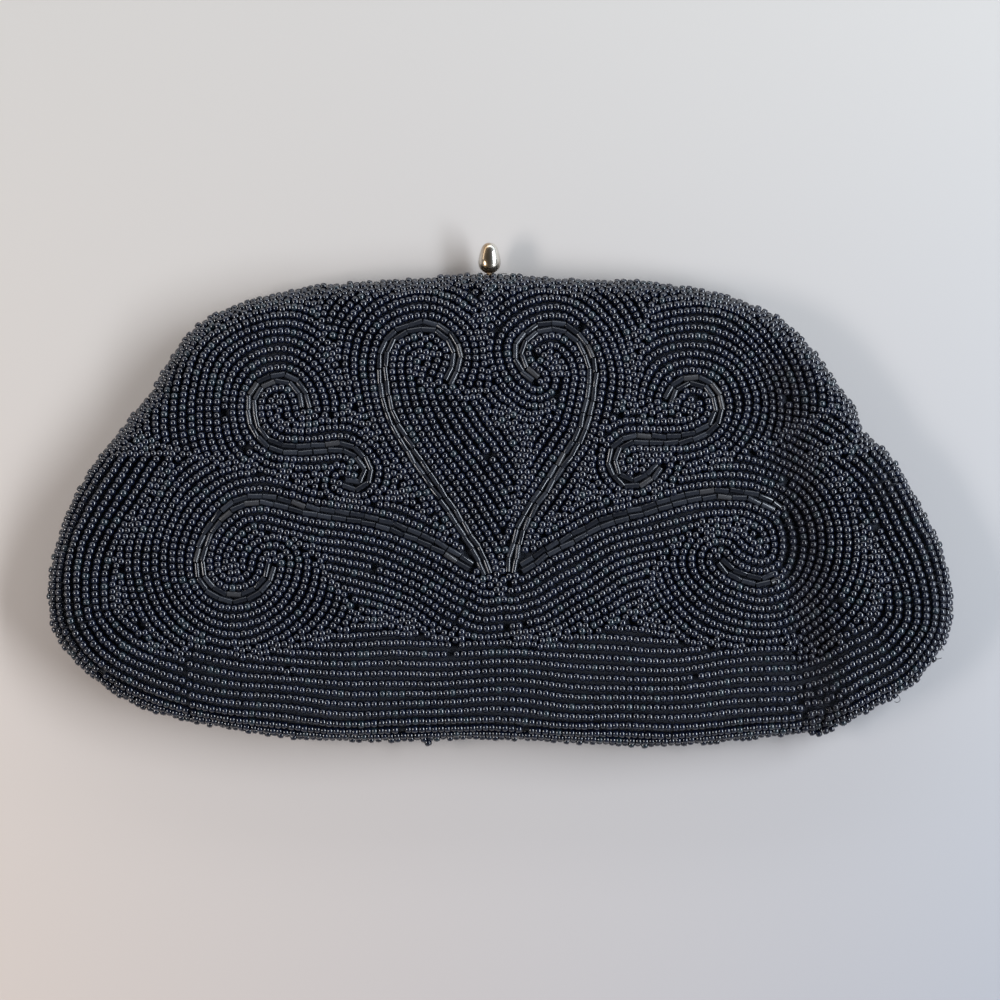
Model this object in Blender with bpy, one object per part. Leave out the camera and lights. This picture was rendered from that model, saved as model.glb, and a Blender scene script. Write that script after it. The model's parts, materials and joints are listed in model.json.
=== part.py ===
"""Beaded evening bag lying on its back: beaded panels, hinged frame, lining and knob clasp.

Metres, +Z up. X runs across the bag, +Y points to the knob, and the front faces up.
The origin is the middle of the whole bag's footprint, on the surface that it lies on.
"""
import math

import bmesh
import bpy
import numpy as np

# Overall sizes
bag_width = 0.230
bag_height = 0.120
knob_rise = 0.00816

# Soft shell: the rim is a half round, and the front is crowned
rim_radius = 0.0070
crown_rise = 0.0037
crown_reach = 0.038
bead_cloth = 0.0024
interlining_card = 0.0009
lining_cloth = 0.0005
gap = 0.0003
plate_inset = 0.010

# Heights of the hinge line, at the two dents of the outline, and of the fold's lower edge
hinge_share = 0.7025
fold_share = 0.6025

# Frame channels
channel_inset = 0.0043
channel_depth = 0.0052
channel_height = 0.0031
channel_wall = 0.0007
channel_start = 0.0045
ear_radius = 0.0022
ear_thickness = 0.0009
ear_reach = 0.0075
rivet_radius = 0.0009
rivet_head_radius = 0.0016
rivet_head_height = 0.0006
rivet_crown_share = 0.6
turning_gap = 0.0002

# Clasp
clasp_x = -0.0028
pivot_inset = 0.0020
pin_radius = 0.00055
pin_head_radius = 0.0009
pin_head_length = 0.0003
barrel_radius = 0.0011
barrel_half_length = 0.0015
cheek_radius = 0.0012
cheek_thickness = 0.0006
cheek_turn = math.radians(240)
cheek_waist_share = 0.2
stem_radius = 0.00075
stem_grip = 0.0022
nose_length = 0.0016
nose_share = 0.5
nose_width_share = 0.8
base_share = 0.8
base_depth = 0.0017
clasp_slot_half_width = 0.0036
slot_ahead = 0.0026
slot_behind = 0.0035
knob_radius = 0.00285
knob_foot_gap = 0.0004

# Scrolls of double bugle beads
scroll_width = 0.0031
scroll_height = 0.0005
scroll_section_shares = ((-1.0, 0.0), (1.0, 0.0), (0.75, 1.0), (0.0, 0.5), (-0.75, 1.0))

# Main rows of beads on the front, with a furrow between each two, level beside the scrolls
bead_row_pitch = 0.0080
furrow_depth = 0.0011
furrow_slope_share = 0.35
scroll_shelf = 0.0040

# Inner pocket
pocket_width = 0.090
pocket_height = 0.045
pocket_rise = 0.022
pocket_corner = 0.006

# Mesh fineness, as counts
outline_points = 240
cloth_ribs = 38
lining_ribs = 28
card_ribs = 20
frame_stations = 30
round_sides = 20
small_sides = 12
corner_steps = 4
scroll_spacing = 0.0042
fold_rows = 3
fold_columns = 14

# Where the rows near the rim lie, from the rim inwards, and as shares of a short rib
rim_rows = (0.0, 0.0005, 0.0016, 0.0034, 0.0060)
rim_row_shares = (0.0, 0.06, 0.16, 0.30, 0.46)
inner_rows = 4

# Outline, clockwise from the top: shares of half the width, and of the height
outline_shares = (
    (-0.023, 1.000), (0.099, 0.991), (0.220, 0.987), (0.331, 0.981), (0.442, 0.966),
    (0.542, 0.940), (0.619, 0.904), (0.690, 0.840), (0.734, 0.781), (0.774, 0.730),
    (0.805, 0.668), (0.841, 0.634), (0.876, 0.598), (0.907, 0.547), (0.942, 0.483),
    (0.976, 0.419), (0.998, 0.330), (0.993, 0.245), (0.962, 0.187), (0.911, 0.130),
    (0.841, 0.089), (0.763, 0.051), (0.674, 0.030), (0.575, 0.019), (0.442, 0.006),
    (0.309, 0.000), (0.132, 0.009), (-0.045, 0.017), (-0.223, 0.011), (-0.378, 0.013),
    (-0.511, 0.023), (-0.666, 0.049), (-0.776, 0.077), (-0.865, 0.119), (-0.942, 0.181),
    (-0.991, 0.255), (-0.998, 0.340), (-0.982, 0.426), (-0.953, 0.504), (-0.918, 0.568),
    (-0.876, 0.623), (-0.832, 0.677), (-0.792, 0.728), (-0.770, 0.749), (-0.750, 0.790),
    (-0.714, 0.843), (-0.666, 0.894), (-0.595, 0.930), (-0.499, 0.957), (-0.378, 0.977),
    (-0.223, 0.985), (-0.112, 0.996),
)

# Scroll centre lines: shares of half the width, and of the height
scroll_shares = {
    "left_heart_scroll": (
        (-0.116, 0.766), (-0.103, 0.794), (-0.094, 0.821), (-0.103, 0.853), (-0.123, 0.872),
        (-0.147, 0.887), (-0.181, 0.889), (-0.214, 0.879), (-0.243, 0.860), (-0.256, 0.830),
        (-0.260, 0.789), (-0.249, 0.726), (-0.233, 0.683), (-0.189, 0.613), (-0.132, 0.534),
        (-0.079, 0.457), (-0.041, 0.396), (-0.030, 0.364),
    ),
    "right_heart_scroll": (
        (0.079, 0.774), (0.054, 0.794), (0.041, 0.817), (0.039, 0.845), (0.058, 0.868),
        (0.085, 0.883), (0.114, 0.889), (0.143, 0.883), (0.172, 0.860), (0.192, 0.830),
        (0.203, 0.789), (0.200, 0.753), (0.182, 0.674), (0.161, 0.636), (0.099, 0.549),
        (0.050, 0.474), (0.028, 0.404), (0.021, 0.368),
    ),
    "left_side_scroll": (
        (-0.426, 0.713), (-0.431, 0.734), (-0.442, 0.757), (-0.460, 0.774), (-0.482, 0.779),
        (-0.511, 0.774), (-0.533, 0.760), (-0.546, 0.734), (-0.548, 0.706), (-0.541, 0.677),
        (-0.528, 0.657), (-0.510, 0.643), (-0.482, 0.630), (-0.422, 0.628), (-0.363, 0.634),
        (-0.338, 0.632), (-0.316, 0.619), (-0.298, 0.600), (-0.289, 0.581), (-0.298, 0.560),
        (-0.318, 0.549), (-0.344, 0.560),
    ),
    "right_side_scroll": (
        (0.367, 0.728), (0.373, 0.745), (0.387, 0.764), (0.409, 0.772), (0.433, 0.772),
        (0.460, 0.762), (0.473, 0.743), (0.480, 0.717), (0.473, 0.691), (0.455, 0.670),
        (0.426, 0.657), (0.387, 0.649), (0.309, 0.649), (0.282, 0.649), (0.260, 0.638),
        (0.247, 0.621), (0.243, 0.600), (0.251, 0.579), (0.271, 0.560), (0.298, 0.557),
        (0.327, 0.570), (0.349, 0.594),
    ),
    "left_low_scroll": (
        (-0.502, 0.387), (-0.511, 0.357), (-0.533, 0.332), (-0.566, 0.317), (-0.606, 0.317),
        (-0.635, 0.332), (-0.655, 0.357), (-0.661, 0.387), (-0.655, 0.423), (-0.635, 0.464),
        (-0.608, 0.494), (-0.577, 0.515), (-0.539, 0.523), (-0.502, 0.521), (-0.413, 0.498),
        (-0.318, 0.485), (-0.228, 0.470), (-0.145, 0.440), (-0.107, 0.411), (-0.078, 0.393),
    ),
    "right_low_scroll": (
        (0.064, 0.391), (0.103, 0.413), (0.141, 0.432), (0.220, 0.472), (0.331, 0.504),
        (0.426, 0.530), (0.522, 0.534), (0.574, 0.521), (0.613, 0.500), (0.639, 0.464),
        (0.648, 0.419), (0.630, 0.377), (0.588, 0.353), (0.550, 0.353), (0.504, 0.372),
        (0.480, 0.394),
    ),
}

# The knob's turned profile: shares of its height from the foot, and of its radius
knob_profile_shares = (
    (0.000, 0.36), (0.040, 0.52), (0.120, 0.78), (0.230, 0.95), (0.365, 1.00), (0.530, 0.94),
    (0.700, 0.83), (0.840, 0.69), (0.930, 0.52), (0.975, 0.34), (0.994, 0.17), (1.000, 0.00),
)

# Places worked out from the sizes above
y_bottom = -(bag_height + knob_rise) / 2
y_top = y_bottom + bag_height
y_hinge = y_bottom + bag_height * hinge_share
y_fold = y_bottom + bag_height * fold_share
z_seam = rim_radius
y_pivot = y_top - pivot_inset
knob_foot = y_top + knob_foot_gap
knob_height = knob_rise - knob_foot_gap
outer_cloth = (0.0, bead_cloth)
card_layer = (bead_cloth + gap, bead_cloth + gap + interlining_card)
lining_layer = (card_layer[1] + gap, card_layer[1] + gap + lining_cloth)


def clear_scene():
    """Remove every object that the file holds."""
    for thing in list(bpy.data.objects):
        bpy.data.objects.remove(thing, do_unlink=True)


def finish(name, colour, roughness, metallic):
    """Make a plain surface finish."""
    made = bpy.data.materials.new(name)
    made.use_nodes = True
    shader = made.node_tree.nodes["Principled BSDF"]
    shader.inputs["Base Color"].default_value = (*colour, 1.0)
    shader.inputs["Roughness"].default_value = roughness
    shader.inputs["Metallic"].default_value = metallic
    return made


def add_object(name, bm, material):
    """Turn a bmesh into a named object with its faces pointing out."""
    bmesh.ops.remove_doubles(bm, verts=bm.verts, dist=gap / 100)
    bmesh.ops.dissolve_degenerate(bm, edges=bm.edges, dist=gap / 100)
    bmesh.ops.recalc_face_normals(bm, faces=bm.faces)
    mesh = bpy.data.meshes.new(name)
    bm.to_mesh(mesh)
    bm.free()
    mesh.shade_smooth()
    mesh.set_sharp_from_angle(angle=math.radians(40))
    made = bpy.data.objects.new(name, mesh)
    if material is not None:
        mesh.materials.append(material)
    bpy.context.scene.collection.objects.link(made)
    return made


def as_cutter(thing):
    """Mark an object as a helper that only shapes another one."""
    thing.hide_render = True
    thing.display_type = "WIRE"
    return thing


def shape_with(thing, helper, operation):
    """Join a helper to an object, or cut the object with it."""
    step = thing.modifiers.new(f"{operation.lower()}_{helper.name}", "BOOLEAN")
    step.operation = operation
    step.solver = "EXACT"
    step.object = as_cutter(helper)


def smooth_curve(points, closed, steps):
    """Run a Catmull-Rom curve through the points."""
    knots = [np.array(p, dtype=float) for p in points]
    count = len(knots)
    spans = count if closed else count - 1
    curve = []
    for i in range(spans):
        if closed:
            a, b, c, d = (knots[(i + k - 1) % count] for k in range(4))
        else:
            a, b, c, d = (knots[min(max(i + k - 1, 0), count - 1)] for k in range(4))
        for s in range(steps):
            t = s / steps
            curve.append(0.5 * (2 * b + (c - a) * t + (2 * a - 5 * b + 4 * c - d) * t ** 2
                                + (3 * b - a - 3 * c + d) * t ** 3))
    if not closed:
        curve.append(knots[-1])
    return np.array(curve)


def spread_evenly(curve, count):
    """Read count points at even steps along an open polyline."""
    steps = np.linalg.norm(np.diff(curve, axis=0), axis=1)
    along = np.concatenate(([0.0], np.cumsum(steps)))
    wanted = np.linspace(0.0, along[-1], count)
    return np.column_stack([np.interp(wanted, along, curve[:, k]) for k in range(curve.shape[1])])


def place_shares(shares):
    """Turn shares of the half width and the height into places on the bag."""
    return [(x * bag_width / 2, y_bottom + y * bag_height) for x, y in shares]


def make_outline():
    """The bag's outline as even points, clockwise from the top, with its inward normals."""
    rough = smooth_curve(place_shares(outline_shares), True, 6)
    ring = np.vstack((rough, rough[:1]))
    even = spread_evenly(ring, outline_points + 1)[:-1]
    low, high = even.min(axis=0), even.max(axis=0)
    size = np.array((bag_width, bag_height))
    corner = np.array((-bag_width / 2, y_bottom))
    even = corner + (even - low) / (high - low) * size
    forward = np.roll(even, -1, axis=0) - np.roll(even, 1, axis=0)
    forward /= np.linalg.norm(forward, axis=1)[:, None]
    inward = np.column_stack((forward[:, 1], -forward[:, 0]))
    return even, inward


outline, outline_inward = make_outline()


def inset_outline(depth):
    """The outline moved inwards by a depth."""
    return outline + outline_inward * depth


def distance_to(points, line):
    """How far each point lies from an open polyline."""
    starts, runs = line[:-1], np.diff(line, axis=0)
    lengths = (runs ** 2).sum(axis=1)
    flat = points.reshape(-1, 2)
    away = flat[:, None, :] - starts[None, :, :]
    share = np.clip((away * runs[None]).sum(axis=2) / lengths[None], 0.0, 1.0)
    nearest = away - share[..., None] * runs[None]
    return np.sqrt((nearest ** 2).sum(axis=2).min(axis=1)).reshape(points.shape[:-1])


def depth_inside(points):
    """How far each point lies inside the outline."""
    return distance_to(points, np.vstack((outline, outline[:1])))


def half_thickness(depth, layer, crowned):
    """Height of a layer's surface over the seam, at a depth inside the outline."""
    radius = rim_radius - layer
    along = np.clip(rim_radius - depth, 0.0, radius)
    height = np.sqrt(radius ** 2 - along ** 2)
    if crowned:
        rise = np.clip((depth - layer) / crown_reach, 0.0, 1.0)
        height = height + crown_rise * (1 - (1 - rise) ** 2)
    return height


def lift(flat, layer, side, on_seam=None, sunk=0.0):
    """Give a grid of flat points its height; side is 1 for the front and -1 for the rear."""
    height = half_thickness(depth_inside(flat), layer, side > 0) - sunk
    if on_seam is not None:
        height = np.where(on_seam, 0.0, height)
    z = z_seam + side * np.maximum(height, gap / 2)
    return np.concatenate((flat, z[..., None]), axis=-1)


def arc_beyond(depth, y_line, upper):
    """The inset outline above or below a line across the bag, from left to right."""
    curve = inset_outline(depth)
    keep = curve[:, 1] > y_line if upper else curve[:, 1] < y_line
    count = len(curve)
    first = next(i for i in range(count) if keep[i] and not keep[i - 1])
    run = [curve[(first + k) % count] for k in range(int(keep.sum()))]
    before, after = curve[first - 1], curve[(first + len(run)) % count]
    run.insert(0, crossing(before, run[0], y_line))
    run.append(crossing(run[-1], after, y_line))
    arc = np.array(run)
    return arc if arc[0, 0] < arc[-1, 0] else arc[::-1]


def crossing(a, b, y_line):
    """Where the line from a to b crosses a line across the bag."""
    share = (y_line - a[1]) / (b[1] - a[1])
    return a + (b - a) * share


def rib_grid(depth, y_line, upper, count, round_rim=True, inner=inner_rows):
    """Grid of flat points on ribs that fan from the line across the bag to the outline."""
    rows, row_shares = (rim_rows, rim_row_shares) if round_rim else (rim_rows[:1], rim_rows[:1])
    rim = spread_evenly(arc_beyond(depth, y_line, upper), count + 1)
    spine = np.column_stack((np.linspace(rim[0, 0], rim[-1, 0], count + 1),
                             np.full(count + 1, y_line)))
    grid = []
    for root, tip in zip(spine, rim):
        length = np.linalg.norm(tip - root)
        near = [min(row, share * length) for row, share in zip(rows, row_shares)]
        rest = list(np.linspace(near[-1], length, inner + 1)[1:])
        shares = [1 - d / length if length > gap else 0.0 for d in near + rest]
        grid.append([root + (tip - root) * s for s in reversed(shares)])
    return np.array(grid)


def solid_between(bm, outer, inner):
    """Close the space between two matching grids of points."""
    rows, columns = outer.shape[:2]
    sheets = [[[bm.verts.new(grid[i, j]) for j in range(columns)] for i in range(rows)]
              for grid in (outer, inner)]
    for sheet in sheets:
        for i in range(rows - 1):
            for j in range(columns - 1):
                bm.faces.new((sheet[i][j], sheet[i + 1][j], sheet[i + 1][j + 1], sheet[i][j + 1]))
    top, bottom = sheets
    for j in (0, columns - 1):
        for i in range(rows - 1):
            bm.faces.new((top[i][j], top[i + 1][j], bottom[i + 1][j], bottom[i][j]))
    for i in (0, rows - 1):
        for j in range(columns - 1):
            bm.faces.new((top[i][j], top[i][j + 1], bottom[i][j + 1], bottom[i][j]))


def rim_mask(grid, closed_columns):
    """Mark the grid points that lie on the seam, at the outline's end of each rib."""
    mask = np.zeros(grid.shape[:2], dtype=bool)
    mask[:, closed_columns] = True
    return mask


def shell_part(name, layer, y_line, upper, material, count, furrows=0):
    """The front of a panel on one side of a line across the bag, wrapped round the rim."""
    inner = 2 * furrows or inner_rows
    grids = []
    for surface in layer:
        flat = rib_grid(surface, y_line, upper, count, inner=inner)
        sunk = furrow_depths(flat, inner) if furrows and surface == layer[0] else 0.0
        grids.append(lift(flat, surface, 1, rim_mask(flat, -1), sunk))
    bm = bmesh.new()
    solid_between(bm, *grids)
    return add_object(name, bm, material)


def furrow_count(y_line, y_edge):
    """How many furrows fit between a line across the bag and the rim's round."""
    return round((abs(y_edge - y_line) - rim_rows[-1]) / bead_row_pitch)


def furrow_depths(flat, inner):
    """How far a grid's points are sunk: every second inner row is a furrow."""
    steps = np.linalg.norm(flat[:, 1] - flat[:, 0], axis=1)
    sunk = np.zeros(flat.shape[:2])
    sunk[:, 1:inner:2] = np.minimum(furrow_depth, steps * furrow_slope_share)[:, None]
    lines = [smooth_curve(place_shares(shares), False, 2) for shares in scroll_shares.values()]
    beside = np.min([distance_to(flat, line) for line in lines], axis=0) < scroll_shelf
    return np.where(beside, 0.0, sunk)


def plate_part(name, layer, y_line, upper, material):
    """The front of a panel that stops short of the rim."""
    flat = rib_grid(plate_inset, y_line, upper, card_ribs, False)
    bm = bmesh.new()
    solid_between(bm, *(lift(flat, surface, 1) for surface in layer))
    return add_object(name, bm, material)


def both_ways(depth, count, round_rim=True):
    """Grid of flat points from the bottom rim over the hinge line to the top rim."""
    lower = rib_grid(depth, y_hinge, False, count, round_rim)
    upper = rib_grid(depth, y_hinge, True, count, round_rim)
    spine = np.linspace(lower[0, 0], lower[-1, 0], count + 1)
    lower[:, 0] = spine
    upper[:, 0] = spine
    return np.concatenate((lower[:, ::-1], upper[:, 1:]), axis=1)


def rear_shell(name, layer, material, count):
    """A whole rear panel from rim to rim."""
    grids = []
    for surface in layer:
        flat = both_ways(surface, count)
        grids.append(lift(flat, surface, -1, rim_mask(flat, [0, -1])))
    bm = bmesh.new()
    solid_between(bm, *grids)
    return add_object(name, bm, material)


def rear_plate(name, layer, material):
    """A whole rear panel that stops short of the rim."""
    flat = both_ways(plate_inset, card_ribs, False)
    bm = bmesh.new()
    solid_between(bm, *(lift(flat, surface, -1) for surface in layer))
    return add_object(name, bm, material)


def fold_grid(depth, rows, columns):
    """Grid of flat points across the strip between the hinge line and the lower panel."""
    ladder = np.linspace(y_fold + gap / 2, y_hinge - gap / 2, rows + 1)
    grid = []
    for y_line in ladder:
        arc = arc_beyond(depth, y_line, True)
        left, right = arc[0, 0], arc[-1, 0]
        near = list(rim_rows)
        middle = list(np.linspace(rim_rows[-1], right - left - rim_rows[-1], columns + 1)[1:-1])
        steps = near + middle + [right - left - row for row in reversed(near)]
        grid.append([(left + step, y_line) for step in steps])
    return np.array(grid)


def fold_part(name, layer, material):
    """The strip of cloth that bends when the bag opens."""
    grids = []
    for surface in layer:
        flat = fold_grid(surface, fold_rows, fold_columns)
        grids.append(lift(flat, surface, 1, rim_mask(flat, [0, -1])))
    bm = bmesh.new()
    solid_between(bm, *grids)
    return add_object(name, bm, material)


def ribbon(bm, path):
    """A double row of bugle beads as one closed strip that follows the crowned front."""
    section = np.array(scroll_section_shares)
    across = scroll_width / 2 * section[:, 0]
    up = gap + scroll_height * section[:, 1]
    forward = np.gradient(path, axis=0)
    forward /= np.linalg.norm(forward, axis=1)[:, None]
    aside = np.column_stack((-forward[:, 1], forward[:, 0]))
    flat = path[:, None, :] + aside[:, None, :] * across[None, :, None]
    z = z_seam + half_thickness(depth_inside(flat), 0.0, True) + up[None, :]
    points = np.concatenate((flat, z[..., None]), axis=-1)
    rings = [[bm.verts.new(p) for p in ring] for ring in points]
    sides = len(across)
    for ring, following in zip(rings[:-1], rings[1:]):
        for k in range(sides):
            n = (k + 1) % sides
            bm.faces.new((ring[k], ring[n], following[n], following[k]))
    bm.faces.new(rings[0])
    bm.faces.new(rings[-1])


def prism(name, outline_yz, x_low, x_high, material=None):
    """A plate square to X, from its outline in Y and Z."""
    bm = bmesh.new()
    ends = [[bm.verts.new((x, y, z)) for y, z in outline_yz] for x in (x_low, x_high)]
    count = len(outline_yz)
    for k in range(count):
        n = (k + 1) % count
        bm.faces.new((ends[0][k], ends[0][n], ends[1][n], ends[1][k]))
    bm.faces.new(ends[0])
    bm.faces.new(ends[1])
    return add_object(name, bm, material)


def block(name, low, high, material=None):
    """A box between two corners."""
    x0, y0, z0 = low
    x1, y1, z1 = high
    return prism(name, ((y0, z0), (y1, z0), (y1, z1), (y0, z1)), x0, x1, material)


def turned_x(name, profile, y, z, sides, material=None):
    """A piece turned about a line along X, from its places along X and their radii."""
    bm = bmesh.new()
    rings = []
    for x, radius in profile:
        turn = [2 * math.pi * k / sides for k in range(sides)]
        rings.append([bm.verts.new((x, y + radius * math.cos(a), z + radius * math.sin(a)))
                      for a in turn])
    close_rings(bm, rings)
    return add_object(name, bm, material)


def turned_y(name, profile, x, z, sides, material=None):
    """A piece turned about a line along Y, from its places along Y and their radii."""
    bm = bmesh.new()
    rings = []
    for y, radius in profile:
        turn = [2 * math.pi * k / sides for k in range(sides)]
        rings.append([bm.verts.new((x + radius * math.cos(a), y, z + radius * math.sin(a)))
                      for a in turn])
    close_rings(bm, rings)
    return add_object(name, bm, material)


def close_rings(bm, rings):
    """Skin a row of rings and cap both ends."""
    for ring, following in zip(rings[:-1], rings[1:]):
        for k in range(len(ring)):
            n = (k + 1) % len(ring)
            bm.faces.new((ring[k], ring[n], following[n], following[k]))
    bm.faces.new(rings[0])
    bm.faces.new(rings[-1])


def channel_profile(side):
    """The channel's section as depths inside the outline and heights."""
    near, far = channel_inset, channel_inset + channel_depth
    low, high = gap / 2, channel_height
    wall = channel_wall
    section = ((near, low), (far, low), (far, low + wall), (near + wall, low + wall),
               (near + wall, high - wall), (far, high - wall), (far, high), (near, high))
    return [(depth, z_seam + side * height) for depth, height in section]


def channel_room():
    """The section that the rear lining leaves free for the channel, out to the beaded cloth."""
    near, far = bead_cloth, channel_inset + channel_depth + gap
    low, high = z_seam - channel_height - gap, z_seam + gap
    return ((near, low), (far, low), (far, high), (near, high))


def sweep_channel(name, section, end_gap=0.0, material=None):
    """Carry a section along the mouth, and cut it square a little above the hinge line."""
    end = y_hinge + channel_start - end_gap
    keep = [i for i in range(outline_points) if outline[i, 1] > end]
    first = next(i for i in keep if (i - 1) % outline_points not in keep)
    run = [(first + k) % outline_points for k in range(len(keep))]
    edge = spread_evenly(np.hstack((outline[run], outline_inward[run])), frame_stations)
    bm = bmesh.new()
    rings = []
    for x, y, nx, ny in edge:
        rings.append([bm.verts.new((x + nx * d, y + ny * d, z)) for d, z in section])
    close_rings(bm, rings)
    channel = add_object(name, bm, material)
    end_cut = block(f"{name}_end_cut", (-bag_width, end - bag_height, -rim_radius),
                    (bag_width, end, z_seam + rim_radius))
    shape_with(channel, end_cut, "DIFFERENCE")
    return channel


def ear_outline(side):
    """A hinge ear: a disc round the rivet with a tongue that reaches into the channel."""
    low = gap / 2 + channel_wall / 2
    points = [(ear_reach, low), (ear_reach, ear_radius)]
    last = 2 * math.pi + math.asin(low / ear_radius)
    for k in range(small_sides + 1):
        turn = math.pi / 2 + (last - math.pi / 2) * k / small_sides
        points.append((ear_radius * math.cos(turn), ear_radius * math.sin(turn)))
    return [(y_hinge + y, z_seam + side * z) for y, z in points]


def ear_place(way):
    """Where the ears of one hinge stand: in the middle of the channel, over the tongue."""
    line = y_hinge + (channel_start + ear_reach) / 2
    middle = arc_beyond(channel_inset + channel_depth / 2, line, True)
    return middle[0, 0] if way < 0 else middle[-1, 0]


def frame_half(name, side, material):
    """One channel of the frame with its two hinge ears: the rear ears are the outer ones."""
    frame = sweep_channel(name, channel_profile(side), material=material)
    outwards = -side
    reach = ear_thickness * 3
    for word, way in (("left", -1), ("right", 1)):
        place = ear_place(way)
        near = place + way * outwards * gap / 2
        span = sorted((near, near + way * outwards * ear_thickness))
        ear = prism(f"{name}_{word}_ear", ear_outline(side), *span)
        shape_with(frame, ear, "UNION")
        hole = turned_x(f"{name}_{word}_hole",
                        [(x, rivet_radius + turning_gap) for x in (place - reach, place + reach)],
                        y_hinge, z_seam, round_sides)
        shape_with(frame, hole, "DIFFERENCE")


def hinge_rivet(name, way, material):
    """The rivet through both ears of one hinge."""
    place = ear_place(way)
    end = gap / 2 + ear_thickness + gap
    step = rivet_head_height / 2
    crown = rivet_head_radius * rivet_crown_share
    half = ((end, rivet_radius), (end, rivet_head_radius), (end + step, rivet_head_radius),
            (end + rivet_head_height, crown))
    profile = [(place - x, r) for x, r in reversed(half)] + [(place + x, r) for x, r in half]
    turned_x(name, profile, y_hinge, z_seam, small_sides, material)


def band_boxes():
    """The three bands of the front: opening half, fold and fixed lower part."""
    bands = {
        "top": (y_hinge + gap / 2, y_top),
        "fold": (y_fold + gap / 2, y_hinge - gap / 2),
        "lower": (y_bottom, y_fold - gap / 2),
    }
    return {
        band: (low, high, block(f"{band}_band", (-bag_width, low, z_seam),
                                (bag_width, high, z_seam + bag_height)))
        for band, (low, high) in bands.items()
    }


def scroll_parts(name, shares, bands, material):
    """One scroll, split at the hinge line and at the lower edge of the fold."""
    path = smooth_curve(place_shares(shares), False, 6)
    length = np.linalg.norm(np.diff(path, axis=0), axis=1).sum()
    even = spread_evenly(path, 2 + round(length / scroll_spacing))
    for band, (low, high, box) in bands.items():
        if even[:, 1].min() > high - scroll_width / 2 or even[:, 1].max() < low + scroll_width / 2:
            continue
        bm = bmesh.new()
        ribbon(bm, even)
        piece = add_object(f"{name}_{band}", bm, material)
        shape_with(piece, box, "INTERSECT")


def clasp_slot():
    """The opening in the rim that the clasp works in."""
    return block(
        "clasp_slot",
        (clasp_x - clasp_slot_half_width, y_top - channel_inset, z_seam - slot_behind),
        (clasp_x + clasp_slot_half_width, y_top + channel_inset, z_seam + slot_ahead),
    )


def cheek_outline(back):
    """A cheek of the clasp's bracket: a disc round the pin with a leg back to the base."""
    points = [(-cheek_radius, back)]
    for k in range(small_sides + 1):
        turn = math.pi - k / small_sides * cheek_turn
        points.append((cheek_radius * math.cos(turn), cheek_radius * math.sin(turn)))
    points.append((-cheek_radius * cheek_waist_share, back))
    return [(y_pivot + y, z_seam + z) for y, z in points]


def clasp_bracket(material):
    """The base on the rear channel, with a cheek at each end of the barrel."""
    near = barrel_half_length + gap
    far = near + cheek_thickness
    low = y_top - channel_inset + gap
    back = z_seam - channel_height + gap / 2
    reach = far + cheek_thickness / 2
    bracket = block("clasp_bracket", (clasp_x - reach, low, back),
                    (clasp_x + reach, y_pivot - cheek_radius * base_share, back + base_depth),
                    material)
    for word, way in (("left", -1), ("right", 1)):
        span = sorted((clasp_x + way * near, clasp_x + way * far))
        cheek = prism(f"clasp_{word}_cheek", cheek_outline(base_depth / 2 - channel_height), *span)
        shape_with(bracket, cheek, "UNION")
    shape_with(bracket, pin_hole("clasp_bracket_hole"), "DIFFERENCE")


def pin_hole(name):
    """The hole that the clasp pin passes through."""
    reach = clasp_slot_half_width
    return turned_x(name, [(clasp_x - reach, pin_radius + turning_gap),
                           (clasp_x + reach, pin_radius + turning_gap)],
                    y_pivot, z_seam, round_sides)


def clasp_pin(material):
    """The pin with a small head at each end."""
    end = barrel_half_length + gap + cheek_thickness + gap
    profile = (
        (-end - pin_head_length, pin_head_radius), (-end, pin_head_radius), (-end, pin_radius),
        (end, pin_radius), (end, pin_head_radius), (end + pin_head_length, pin_head_radius),
    )
    turned_x("clasp_pin", [(clasp_x + x, r) for x, r in profile],
             y_pivot, z_seam, small_sides, material)


def clasp_lever(material):
    """The barrel on the pin, with the stem for the knob and the nose over the front channel."""
    lever = turned_x("clasp_lever", [(clasp_x - barrel_half_length, barrel_radius),
                                     (clasp_x + barrel_half_length, barrel_radius)],
                     y_pivot, z_seam, round_sides, material)
    stem = turned_y("clasp_stem", [(y_pivot, stem_radius), (knob_foot + stem_grip, stem_radius)],
                    clasp_x, z_seam, small_sides)
    nose_low = y_top - channel_inset + gap + turning_gap
    nose_half = barrel_half_length * nose_width_share
    nose = block("clasp_nose", (clasp_x - nose_half, nose_low, z_seam),
                 (clasp_x + nose_half, y_pivot - barrel_radius * nose_share, z_seam + nose_length))
    shape_with(lever, stem, "UNION")
    shape_with(lever, nose, "UNION")
    shape_with(lever, pin_hole("clasp_lever_hole"), "DIFFERENCE")


def clasp_knob(material):
    """The egg-shaped knob with the socket that grips the stem."""
    profile = [(knob_foot + along * knob_height, max(share * knob_radius, gap / 4))
               for along, share in knob_profile_shares]
    knob = turned_y("clasp_knob", profile, clasp_x, z_seam, round_sides, material)
    socket = turned_y("knob_socket", [(knob_foot - stem_grip, stem_radius + turning_gap),
                                      (knob_foot + stem_grip + gap, stem_radius + turning_gap)],
                      clasp_x, z_seam, small_sides)
    shape_with(knob, socket, "DIFFERENCE")


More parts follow.
